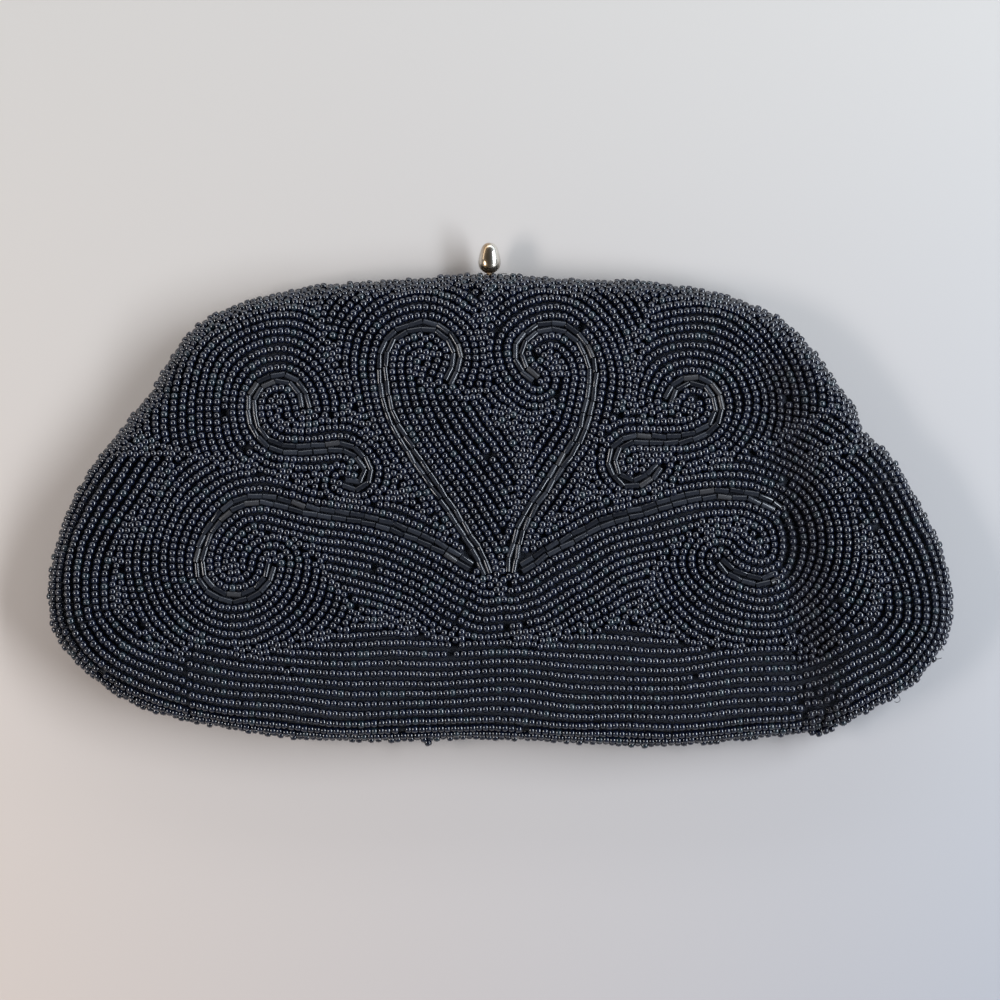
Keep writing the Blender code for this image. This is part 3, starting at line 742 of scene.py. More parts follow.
class Packing:
    """Beads already set, kept in square cells so that close neighbours are found quickly."""

    def __init__(self, clearance: float) -> None:
        """Start with no beads.

        Args:
            clearance: the least distance between two beads.
        """
        self.clearance = clearance
        self.cells: dict[tuple[int, int], list[int]] = {}
        self.places: list[tuple[float, float]] = []
        self.along: list[tuple[float, float]] = []

    def cell(self, x: float, y: float) -> tuple[int, int]:
        """The cell that a place lies in."""
        return int(x // self.clearance), int(y // self.clearance)

    def near(self, x: float, y: float) -> list[int]:
        """The beads in the cells round a place."""
        i, j = self.cell(x, y)
        return [k for a in (i - 1, i, i + 1) for b in (j - 1, j, j + 1)
                for k in self.cells.get((a, b), ())]

    def try_bead(self, x: float, y: float, along: tuple[float, float],
                 clearance: float | None = None) -> bool:
        """Set a bead unless it would stand on another one.

        Args:
            x: its place across.
            y: its place along.
            along: the direction of its thread.
            clearance: the least distance, where it isn't the usual one.

        Returns:
            Whether the bead was set.
        """
        limit = (clearance or self.clearance) ** 2
        for k in self.near(x, y):
            if (self.places[k][0] - x) ** 2 + (self.places[k][1] - y) ** 2 < limit:
                return False
        self.cells.setdefault(self.cell(x, y), []).append(len(self.places))
        self.places.append((x, y))
        self.along.append(along)
        return True


@dataclass
class BeadRows:
    """Strings rows of seed beads over one side of the bag."""

    surface: WrappedSurface
    bead_pitch: float = 0.00166
    clearance: float = 0.00140
    void_reach: float = 0.00174
    border_reach: float = 0.00128
    rest_distance: float = 0.00164
    rest_rounds: int = 12
    crowd_reach: float = 1.4
    cells_across: int = 6
    slack: float = 0.00012
    fine_step: float = 0.0004
    wander: float = 0.00005
    seed: int = 11

    def __post_init__(self) -> None:
        """Start with no beads."""
        self.packing = Packing(self.clearance)
        self.random = np.random.default_rng(self.seed)

    def laid(self, guide: Guide, number: int) -> tuple[Points, Points]:
        """Lay out one row beside a guide.

        Args:
            guide: what the row follows.
            number: the row's number, counted from the guide.

        Returns:
            The row's line, flat, at fine steps, and which of its points keep their distance.
        """
        away = guide.first + guide.pitch * number
        rough = guide.row(away)
        line = spread_evenly(rough, int(lengths_along(rough)[-1] / self.fine_step) + 2)
        return line, np.abs(guide.distance(line) - away) < self.slack

    def string(self, line: Points, allowed: Points) -> None:
        """String one row along a line.

        Args:
            line: the row's line, flat, at fine steps.
            allowed: which of its points may carry a bead.
        """
        edges = np.flatnonzero(np.diff(np.concatenate(([0], allowed.astype(int), [0]))))
        for start, stop in zip(edges[::2], edges[1::2]):
            if stop - start < 2:
                continue
            run = line[start:stop]
            along = lengths_along(self.surface.place(run))
            if along[-1] < self.bead_pitch / 3:
                continue
            count = max(1, round(along[-1] / self.bead_pitch))
            wanted = along[-1] / count * (np.arange(count) + 0.5)
            wanted += self.random.normal(0.0, self.wander, count)
            places = read_at(run, along, wanted)
            places += self.random.normal(0.0, self.wander, places.shape)
            headings = unit(read_at(unit(np.gradient(run, axis=0)), along, wanted))
            for place, heading in zip(places, headings):
                self.packing.try_bead(place[0], place[1], (heading[0], heading[1]))

    def fill_voids(self, low: Points, high: Points, allowed: Test, reach: float) -> int:
        """Set single beads where the rows leave a hole.

        Args:
            low: the lowest corner of the area to search.
            high: its highest corner.
            allowed: tells which flat points may carry a bead.
            reach: how far from every bead a hole's middle lies.

        Returns:
            The number of beads added.
        """
        across = self.cells_across
        step = reach / across
        xs, ys = (np.arange(a, b, step) for a, b in zip(low, high))
        covered = np.zeros((len(xs), len(ys)), dtype=bool)
        near = range(-across, across + 1)
        stamp = [(a, b) for a in near for b in near if a * a + b * b < across ** 2]
        cells = np.round((np.array(self.packing.places) - low) / step).astype(int)
        for a, b in stamp:
            i = np.clip(cells[:, 0] + a, 0, len(xs) - 1)
            j = np.clip(cells[:, 1] + b, 0, len(ys) - 1)
            covered[i, j] = True
        open_x, open_y = np.nonzero(~covered)
        spots = np.column_stack((xs[open_x], ys[open_y]))
        added = 0
        for x, y in spots[allowed(spots)]:
            close = self.packing.near(x, y)
            if not close:
                continue
            places = np.array([self.packing.places[k] for k in close])
            nearest = close[int(((places - (x, y)) ** 2).sum(axis=1).argmin())]
            added += self.packing.try_bead(x, y, self.packing.along[nearest], reach)
        return added

    def settle(self, allowed: Test) -> None:
        """Push crowded beads apart, as beads on one cloth do.

        Args:
            allowed: tells which flat points may carry a bead.
        """
        places = np.array(self.packing.places)
        tree = KDTree(len(places))
        for index, place in enumerate(places):
            tree.insert((*place, 0.0), index)
        tree.balance()
        reach = self.rest_distance * self.crowd_reach
        pairs = np.array([(index, other) for index, place in enumerate(places)
                          for _, other, _ in tree.find_range((*place, 0.0), reach)
                          if other != index])
        for _ in range(self.rest_rounds):
            apart = places[pairs[:, 0]] - places[pairs[:, 1]]
            gap = np.maximum(np.linalg.norm(apart, axis=1, keepdims=True), TINY)
            push = apart / gap * np.maximum(self.rest_distance - gap, 0.0) / 3
            moved = places.copy()
            np.add.at(moved, pairs[:, 0], push)
            places = np.where(allowed(moved)[:, None], moved, places)
        self.packing.places = [tuple(place) for place in places]

    def beads(self) -> tuple[Points, Points]:
        """The flat places and thread directions of all the beads."""
        return np.array(self.packing.places), np.array(self.packing.along)


@dataclass
class FrontPattern:
    """The rows of the front: round the scrolls, along the rim, and level in the bottom band."""

    shape: BagShape
    surface: WrappedSurface
    scroll_first: float = 0.0026
    scroll_pitch: float = 0.00216
    scroll_clear: float = 0.0023
    scroll_tip: float = 0.0014
    crease_reach: float = 0.0013
    rim_first: float = 0.0003
    rim_pitch: float = 0.00248
    rim_depth: float = 0.0048
    lobe_top: float = 0.0110
    band_pitch: float = 0.00247
    band_depth: float = 0.0365
    band_lead: float = 0.0105
    band_left: float = -0.0791
    band_right: float = 0.0763
    band_half: float = 0.0735
    heart_top_share: float = 0.76
    heart_weight: float = 2.3
    heart_turn: float = 0.022
    border_step: float = 0.0010
    drift: float = 0.00028
    drift_length: float = 0.0055
    drift_room: float = 0.006
    border_slope: float = 0.12
    edge_slope: float = 0.7
    map_step: float = 0.0005
    rim_rows: int = 18
    band_rows: int = 16
    scroll_rows: int = 26

    def __post_init__(self) -> None:
        """Make the guides: the rim, the band and one for each scroll."""
        rim = RimGuide(self.surface, self.rim_first, self.rim_pitch, self.rim_rows)
        band = BandGuide(self.surface, self.band_half, self.shape.width / 2, self.rim_first,
                         self.band_pitch, self.band_rows)
        self.lines = {name: smooth_curve(self.shape.place_shares(shares), False, 6)
                      for name, shares in SCROLL_SHARES.items()}
        left_heart = self.lines["left_heart_scroll"]
        heart_rows = left_heart[left_heart[:, 1].argmax():]
        beside = [Guide(line, self.scroll_first, self.scroll_pitch, self.scroll_rows)
                  for line in (*self.lines.values(), heart_rows)]
        self.guides = [rim, band, *beside]
        self.beds = [bed for line in self.lines.values() for bed in self.beds_of(line)]
        self.low, self.high = self.surface.corners()
        measures = [*(guide.distance for guide in self.guides), self.from_bugles]
        self.map = DistanceMap(self.low, self.high, self.map_step, measures)

    def beds_of(self, line: Points) -> list[Points]:
        """Cut a scroll's line into the stretches that carry bugles.

        Args:
            line: the scroll's centre line.

        Returns:
            The stretches, short of the scroll's ends and clear of the crease.
        """
        along, cut = lengths_along(line), self.scroll_tip
        short = read_at(line, along, np.linspace(cut, along[-1] - cut, len(line)))
        hidden = in_crease(short, self.crease_reach)
        runs = np.split(short, np.flatnonzero(np.diff(hidden.astype(int))) + 1)
        return [run for run in runs if not in_crease(run, self.crease_reach).any()]

    def from_bugles(self, flat: Points) -> Points:
        """Distance of flat points from the nearest bugles."""
        return np.min([to_segments(flat, bed) for bed in self.beds], axis=0)

    def stem(self, name: str) -> Points:
        """A heart scroll from the place where it swings out farthest down to its foot."""
        line = self.lines[name]
        return line[np.abs(line[:, 0] - line[-1, 0]).argmax():]

    def in_heart(self, flat: Points) -> Points:
        """Tell which points lie between the two heart scrolls, below their curls.

        Args:
            flat: flat points.

        Returns:
            True for each point inside.
        """
        top = self.shape.y_bottom + self.shape.height * self.heart_top_share
        inside = flat[:, 1] < top
        for name, side in (("left_heart_scroll", 1), ("right_heart_scroll", -1)):
            stem = self.stem(name)[::-1]
            inside &= (flat[:, 0] - np.interp(flat[:, 1], stem[:, 1], stem[:, 0])) * side > 0
            inside &= flat[:, 1] > stem[0, 1]
        return inside

    def free(self, flat: Points) -> Points:
        """Tell which points lie on the cloth, clear of the bugles."""
        near = self.map.read(flat)
        return (near[-1] > self.scroll_clear) & (near[RIM] > 0)

    def owners(self, flat: Points) -> Points:
        """Find the guide that each flat point's row follows.

        Args:
            flat: flat points.

        Returns:
            The guides' indices, and -1 where nothing is strung.
        """
        near = self.map.read(flat)
        seam, rise, reaches, from_left = near[RIM], near[BAND], near[SCROLLS:-2], near[-2]
        nearest = reaches.min(axis=0)
        owner = reaches.argmin(axis=0) + SCROLLS
        left_heart, right_heart = (list(self.lines).index(name) for name in
                                   ("left_heart_scroll", "right_heart_scroll"))
        heart_rows = len(self.guides) - 1
        same = np.abs(reaches[left_heart] - from_left) < self.scroll_first / 20
        owner[(owner == left_heart + SCROLLS) & same] = heart_rows
        in_heart = self.in_heart(flat)
        top = self.shape.y_bottom + self.shape.height * self.heart_top_share
        lower = as_share((top - flat[:, 1]) / self.heart_turn)
        from_right = reaches[right_heart] * (1 + self.heart_weight * lower)
        owner[in_heart] = right_heart + SCROLLS
        owner[in_heart & (from_left < from_right)] = heart_rows
        lobe = (flat[:, 1] < self.lobe_top) & (seam < nearest)
        owner[lobe | (seam < self.rim_depth)] = RIM
        inside = (flat[:, 0] > self.band_left) & (flat[:, 0] < self.band_right)
        inside &= rise < np.minimum(nearest + self.band_lead, self.band_depth)
        owner[inside] = BAND
        owner[~self.free(flat)] = -1
        return owner

    def level(self, flat: Points) -> Points:
        """How far each flat point lies from the guide that its row follows."""
        owner = self.owners(flat)
        return np.where(owner < 0, np.nan, self.map.read(flat)[owner, np.arange(len(flat))])

    def at_border(self, flat: Points) -> Points:
        """Tell which free points lie where rows of different directions meet.

        Args:
            flat: flat points.

        Returns:
            True for each point at such a border.
        """
        if not len(flat):
            return np.zeros(0, dtype=bool)
        slope = np.zeros(len(flat))
        for step in np.eye(2) * self.border_step:
            change = self.level(flat + step) - self.level(flat - step)
            slope += np.nan_to_num(change / self.border_step / 2, nan=self.edge_slope) ** 2
        return self.free(flat) & (np.abs(np.sqrt(slope) - 1) > self.border_slope)

    def drifted(self, flat: Points) -> Points:
        """Let the rows wander slowly, as sewn rows do, but not beside the bugles or the rim.

        Args:
            flat: the beads' flat places.

        Returns:
            The places after the wander.
        """
        # Sines of odd pitches, so that nothing repeats
        x, y = (flat / self.drift_length).T
        wave = np.column_stack((np.sin(y * 1.3 + 2) + np.sin(x + y * 0.7),
                                np.sin(x * 1.2 + 1) + np.sin(x * 0.7 - y * 1.1 + 4)))
        near = self.map.read(flat)
        room = as_share((near[-1] - self.scroll_clear) / self.drift_room)
        room *= as_share(near[RIM] / self.drift_room)
        return flat + wave * (room * self.drift)[:, None]

    def string(self, rows: BeadRows) -> None:
        """String every row, the ones nearest to their guides first, and fill the holes.

        Args:
            rows: what the beads are strung in.
        """
        for number in range(max(guide.rows for guide in self.guides)):
            for index, guide in enumerate(self.guides):
                if number < guide.rows:
                    line, right = rows.laid(guide, number)
                    rows.string(line, right & (self.owners(line) == index))
        for line in self.lines.values():
            hidden = spread_evenly(line, int(lengths_along(line)[-1] / rows.fine_step))
            rows.string(hidden, in_crease(hidden) & self.free(hidden))
        added = rows.fill_voids(self.low, self.high, self.free, rows.void_reach)
        added += rows.fill_voids(self.low, self.high, self.at_border, rows.border_reach)
        rows.packing.places = [tuple(p) for p in self.drifted(np.array(rows.packing.places))]
        rows.settle(self.free)
        log.info("front pattern: %d beads, %d of them single", len(rows.packing.places), added)


@dataclass
class RearPattern:
    """The rows of the back, which all follow the rim."""

    surface: WrappedSurface
    first: float = 0.00225
    pitch: float = 0.00240
    rows: int = 30

    def free(self, flat: Points) -> Points:
        """Tell which points lie on the cloth, clear of the seam."""
        return self.surface.from_seam(flat) > self.first / 2

    def string(self, rows: BeadRows) -> None:
        """String every row, from the rim to the middle, and fill the holes.

        Args:
            rows: what the beads are strung in.
        """
        guide = RimGuide(self.surface, self.first, self.pitch, self.rows)
        for number in range(guide.rows):
            rows.string(*rows.laid(guide, number))
        added = rows.fill_voids(*self.surface.corners(), self.free, rows.void_reach)
        rows.settle(self.free)
        log.info("rear pattern: %d beads, %d of them single", len(rows.packing.places), added)


class Wire:
    """A number that flows through a node tree: sums on it add Math nodes."""

    def __init__(self, book: "NodeBook", socket: bpy.types.NodeSocket) -> None:
        """Keep the tree and the socket that the number comes from."""
        self.book, self.socket = book, socket

    def _sum(self, operation: str, first: object, second: object) -> "Wire":
        """Add a Math node on two values."""
        node = self.book.add("ShaderNodeMath", {"operation": operation}, {0: first, 1: second})
        return Wire(self.book, node.outputs[0])

    def __add__(self, other: object) -> "Wire":
        """Self plus other."""
        return self._sum("ADD", self, other)

    __radd__ = __add__

    def __sub__(self, other: object) -> "Wire":
        """Self minus other."""
        return self._sum("SUBTRACT", self, other)

    def __rsub__(self, other: object) -> "Wire":
        """Other minus self."""
        return self._sum("SUBTRACT", other, self)

    def __mul__(self, other: object) -> "Wire":
        """Self times other."""
        return self._sum("MULTIPLY", self, other)

    __rmul__ = __mul__

    def __truediv__(self, other: object) -> "Wire":
        """Self divided by other."""
        return self._sum("DIVIDE", self, other)

    def __pow__(self, other: object) -> "Wire":
        """Self to the power of other."""
        return self._sum("POWER", self, other)

    def above(self, other: object) -> "Wire":
        """One where self is greater than other, and else nothing."""
        return self._sum("GREATER_THAN", self, other)

    def clamped(self) -> "Wire":
        """Self, kept between nothing and one."""
        return self._sum("MINIMUM", self._sum("MAXIMUM", self, 0.0), 1.0)


class NodeBook:
    """A node tree with one method that adds any node."""

    def __init__(self, tree: bpy.types.NodeTree) -> None:
        """Keep the tree."""
        self.tree = tree

    def add(self, kind: str, settings: dict | None = None,
            inputs: dict | None = None) -> bpy.types.Node:
        """Add a node.

        Args:
            kind: the node's type.
            settings: its settings, which are set first; "stops" are a ramp's colours.
            inputs: values or links for its sockets, by name or index.

        Returns:
            The node.
        """
        node = self.tree.nodes.new(kind)
        for name, value in (settings or {}).items():
            if name == "stops":
                self._set_stops(node.color_ramp, value)
            else:
                setattr(node, name, value)
        for key, value in (inputs or {}).items():
            self.feed(node.inputs[key], value)
        return node

    def feed(self, socket: bpy.types.NodeSocket, value: object) -> None:
        """Give a socket a value, or link one to it.

        Args:
            socket: the socket.
            value: a plain value, a wire or another socket.
        """
        if isinstance(value, Wire):
            self.tree.links.new(value.socket, socket)
        elif isinstance(value, bpy.types.NodeSocket):
            self.tree.links.new(value, socket)
        else:
            socket.default_value = value

    def wire(self, kind: str, settings: dict | None = None, inputs: dict | None = None,
             output: str | int = 0) -> Wire:
        """Add a node and hand back one of its outputs."""
        return Wire(self, self.add(kind, settings, inputs).outputs[output])

    def axes(self, place: Wire) -> tuple[Wire, ...]:
        """The three coordinates of a place."""
        split = self.add("ShaderNodeSeparateXYZ", {}, {"Vector": place})
        return tuple(Wire(self, output) for output in split.outputs)

    @staticmethod
    def _set_stops(ramp: bpy.types.ColorRamp, stops: tuple) -> None:
        """Give a ramp its stops.

        Args:
            ramp: the ramp.
            stops: its places and grey values.
        """
        while len(ramp.elements) < len(stops):
            ramp.elements.new(0.5)
        for element, (place, grey) in zip(ramp.elements, stops):
            element.position = place
            element.color = (grey, grey, grey, 1.0)


class Finish(NodeBook):
    """A material's tree, with its Principled shader."""

    def __init__(self, name: str) -> None:
        """Make an empty material with a shader and an output.

        Args:
            name: the material's name.
        """
        self.material = bpy.data.materials.new(name)
        self.material.use_nodes = True
        super().__init__(self.material.node_tree)
        self.shader = self.tree.nodes["Principled BSDF"]
        self.place = self.wire("ShaderNodeTexCoord", output="Object")

    def set(self, **values: object) -> None:
        """Set the shader's sockets; an underscore in a name stands for a space."""
        for name, value in values.items():
            self.feed(self.shader.inputs[name.replace("_", " ")], value)

    def mix(self, factor: object, first: object, second: object) -> Wire:
        """Mix two colours.

        Args:
            factor: how much of the second one shows.
            first: a colour or a wire.
            second: another one.

        Returns:
            The mixed colour.
        """
        inputs = {0: factor}
        for key, value in ((6, first), (7, second)):
            inputs[key] = (*value, 1.0) if isinstance(value, tuple) else value
        return self.wire("ShaderNodeMix", {"data_type": "RGBA"}, inputs, output=2)

    def noise(self, size: float, detail: float = 2.0, stretch: Colour = (1.0, 1.0, 1.0)) -> Wire:
        """Add cloudy noise whose clouds have a real size.

        Args:
            size: the clouds' size in metres.
            detail: how many finer levels it has.
            stretch: how much finer it is along each axis.

        Returns:
            Values from 0 to 1.
        """
        place = self.wire("ShaderNodeMapping", {}, {"Vector": self.place, "Scale": stretch})
        inputs = {"Vector": place, "Scale": 1.0 / size, "Detail": detail}
        return self.wire("ShaderNodeTexNoise", {}, inputs, output="Fac")

    def bands(self, direction: str, pitch: float, twist: float = 0.0) -> Wire:
        """Add even bands with a real pitch.

        Args:
            direction: the axis that they follow each other along.
            pitch: their pitch in metres.
            twist: how much they waver.

        Returns:
            Values from 0 to 1.
        """
        settings = {"wave_type": "BANDS", "bands_direction": direction, "wave_profile": "SIN"}
        inputs = {"Vector": self.place, "Scale": math.pi / 10 / pitch, "Distortion": twist,
                  "Detail": 1.0, "Detail Scale": 1.0}
        return self.wire("ShaderNodeTexWave", settings, inputs, output="Fac")

    def bump(self, height: object, depth: float, strength: float = 1.0) -> Wire:
        """Turn a height into a normal."""
        inputs = {"Height": height, "Distance": depth, "Strength": strength}
        return self.wire("ShaderNodeBump", {}, inputs, output="Normal")


@dataclass(frozen=True)
class BlackGlass:
    """Near-black glass whose colour differs a little from bead to bead, with painted shade in the front's creased
    dent.
    """

    name: str
    deep: Colour
    light: Colour
    odd: Colour
    roughness: float
    bloom: float
    ior: float = 1.70
    uneven: float = 0.03
    odd_from: float = 0.93
    haze: Colour = (0.20, 0.21, 0.23)
    haze_size: float = 0.0011
    haze_from: float = 0.45
    haze_rough: float = 0.05
    # Painted shade in the front's creased dent: a dark, rough, dull film mixed over the glass there
    worn: Colour = (0.007, 0.005, 0.006)
    worn_rough: float = 0.7
    worn_gleam: float = 0.2
    wear: float = 0.48
    # The dent's middle, its lean and its half width
    dent: tuple = ((0.0763, -0.0015), -0.115, 0.0078)
    dent_top: float = 0.038
    front_from: float = 0.009

    def rubbed(self, made: Finish) -> Wire:
        """Tell how much painted shade falls on the beads in the creased dent of the front, darkening them and dimming
        their highlights.

        Args:
            made: the material's tree.

        Returns:
            A share from 0 to 1.
        """
        (middle_x, middle_y), lean, half = self.dent
        x, y, z = made.axes(made.place)
        away = (x - middle_x - (y - middle_y) * lean) / half
        below_top = ((self.dent_top - y) / half).clamped()
        return (1.0 - away * away).clamped() * below_top * z.above(self.front_from)

    def make(self) -> bpy.types.Material:
        """Build the material.

        Returns:
            The material.
        """
        made = Finish(self.name)
        rubbed = self.rubbed(made)
        tint = made.wire("ShaderNodeAttribute", {"attribute_name": "tint"}, output="Fac")
        haze = made.noise(self.haze_size)
        colour = made.mix(tint, self.deep, self.light)
        colour = made.mix(tint.above(self.odd_from), colour, self.odd)
        colour = made.mix((haze - self.haze_from).clamped() * self.bloom, colour, self.haze)
        rough = self.roughness + haze * self.haze_rough + tint * self.uneven
        made.set(Base_Color=colour, Roughness=rough, IOR=self.ior)
        # Mix the dark film over the glass in the dent: painted shade that darkens the beads and dims their highlights
        dent_shade_film = made.add("ShaderNodeBsdfPrincipled", {}, {
            "Base Color": (*self.worn, 1.0), "Roughness": self.worn_rough,
            "Specular IOR Level": self.worn_gleam})
        both = made.add("ShaderNodeMixShader", {}, {
            0: rubbed * self.wear, 1: made.shader.outputs[0], 2: dent_shade_film.outputs[0]})
        made.feed(made.tree.nodes["Material Output"].inputs["Surface"], both.outputs[0])
        return made.material


@dataclass(frozen=True)
class WovenCloth:
    """Plain-woven black cloth."""

    name: str
    base: Colour
    thread: Colour
    pitch: float = 0.0004
    fuzz_size: float = 0.0006
    roughness: float = 0.85
    sheen: float = 0.2

    def make(self) -> bpy.types.Material:
        """Build the material.

        Returns:
            The material.
        """
        made = Finish(self.name)
        weave = made.bands("X", self.pitch) * made.bands("Y", self.pitch)
        fuzz = made.noise(self.fuzz_size, 3.0)
        colour = made.mix(weave * fuzz, self.base, self.thread)
        height = weave + fuzz * 0.5
        made.set(Base_Color=colour, Roughness=self.roughness - weave * 0.1,
                 Normal=made.bump(height, self.pitch / 3), Sheen_Weight=self.sheen)
        return made.material


@dataclass(frozen=True)
class Satin:
    """Satin with long fine threads and a soft gleam: a real sheen, and a lighter colour along the slubs and threads
    that is partly their own tone and partly painted sheen.
    """

    name: str
    base: Colour
    gleam: Colour
    pitch: float = 0.00022
    twist: float = 0.6
    slub_size: float = 0.004
    roughness: float = 0.38
    sheen: float = 0.08

    def make(self) -> bpy.types.Material:
        """Build the material.

        Returns:
            The material.
        """
        made = Finish(self.name)
        threads = made.bands("Y", self.pitch, self.twist)
        slubs = made.noise(self.slub_size, 2.0, (0.2, 3.0, 1.0))
        # The lighter colour along slubs and threads: partly their own tone, partly painted sheen
        colour = made.mix(slubs * 0.7 + threads * 0.2, self.base, self.gleam)
        made.set(Base_Color=colour, Roughness=self.roughness + slubs * 0.15,
                 Normal=made.bump(threads + slubs, self.pitch / 4), Sheen_Weight=self.sheen)
        return made.material


@dataclass(frozen=True)
class Card:
    """Stiff buff card of pressed fibres."""

    name: str
    base: Colour
    fibre: Colour
    fibre_size: float = 0.0015
    depth: float = 0.0001
    roughness: float = 0.9

    def make(self) -> bpy.types.Material:
        """Build the material.

        Returns:
            The material.
        """
        made = Finish(self.name)
        fibres = made.noise(self.fibre_size, 4.0, (1.0, 0.3, 1.0))
        made.set(Base_Color=made.mix(fibres, self.base, self.fibre), Roughness=self.roughness,
                 Normal=made.bump(fibres, self.depth))
        return made.material


@dataclass(frozen=True)
class PlatedMetal:
    """Plated metal with fine draw lines, handling marks and tarnish, and where asked a painted warm reflection down
    one side.
    """

    name: str
    base: Colour
    tarnish: Colour
    roughness: float
    lines: float
    line_stretch: Colour
    foot: tuple[float, float] | None = None
    brass_side: tuple[float, float] | None = None
    brass: Colour = (0.46, 0.31, 0.17)
    draw_size: float = 0.0012
    draw_depth: float = 0.00004
    mark_size: float = 0.0025

    def make(self) -> bpy.types.Material:
        """Build the material.

        Returns:
            The material.
        """
        made = Finish(self.name)
        draw = made.noise(self.draw_size, 3.0, self.line_stretch)
        marks = made.noise(self.mark_size, 3.0)
        dull = (marks * 1.6 - 0.7).clamped()
        x, y, _ = made.axes(made.place)
        if self.foot:
            start, length = self.foot
            height = (y - start) / length
            dull = (dull * 0.5 + (1.0 - height.clamped()) ** 3.0).clamped()
        colour = made.mix(dull, self.base, self.tarnish)
        # A brass-coloured stripe down one side: painted warm reflection
        if self.brass_side:
            middle, half = self.brass_side
            away = (x - middle) / half
            colour = made.mix((1.0 - away * away).clamped() * 0.9, colour, self.brass)
        rough = self.roughness + dull * 0.18 + draw * self.lines
        made.set(Base_Color=colour, Metallic=1.0, Roughness=rough,
                 Normal=made.bump(draw, self.draw_depth, self.lines * 2))
        return made.material


@dataclass(frozen=True)
class TableTop:
    """The pale table, with painted light: warmer to the left, cooler and darker to the right, both giving way to the
    plain pale colour towards +Y.
    """

    name: str
    pale: Colour
    warm: Colour
    cool: Colour
    reach: float = 0.28
    even: float = 0.75
    cloud_size: float = 0.2
    roughness: float = 0.62

    def make(self) -> bpy.types.Material:
        """Build the material.

        Returns:
            The material.
        """
        made = Finish(self.name)
        across, along, _ = made.axes(made.place)
        # Painted light: a warm tint to the left and a cooler, darker shade to the right, which give way to the pale
        # colour towards +Y
        painted_light_tone = made.mix((across / self.reach + 0.5).clamped(), self.warm, self.cool)
        cloudy = made.noise(self.cloud_size, 1.0) * (1.0 - self.even)
        lit = ((along / self.reach + 0.5).clamped() * self.even + cloudy).clamped()
        made.set(Base_Color=made.mix(lit, painted_light_tone, self.pale), Roughness=self.roughness)
        return made.material


@dataclass(frozen=True)
class BeadForm:
    """The form of a bead, and how much one bead differs from the next."""

    width: float
    length: float
    hole_share: float
    size_spread: float
    tilt: float
    sides: int
    section_sides: int = 0


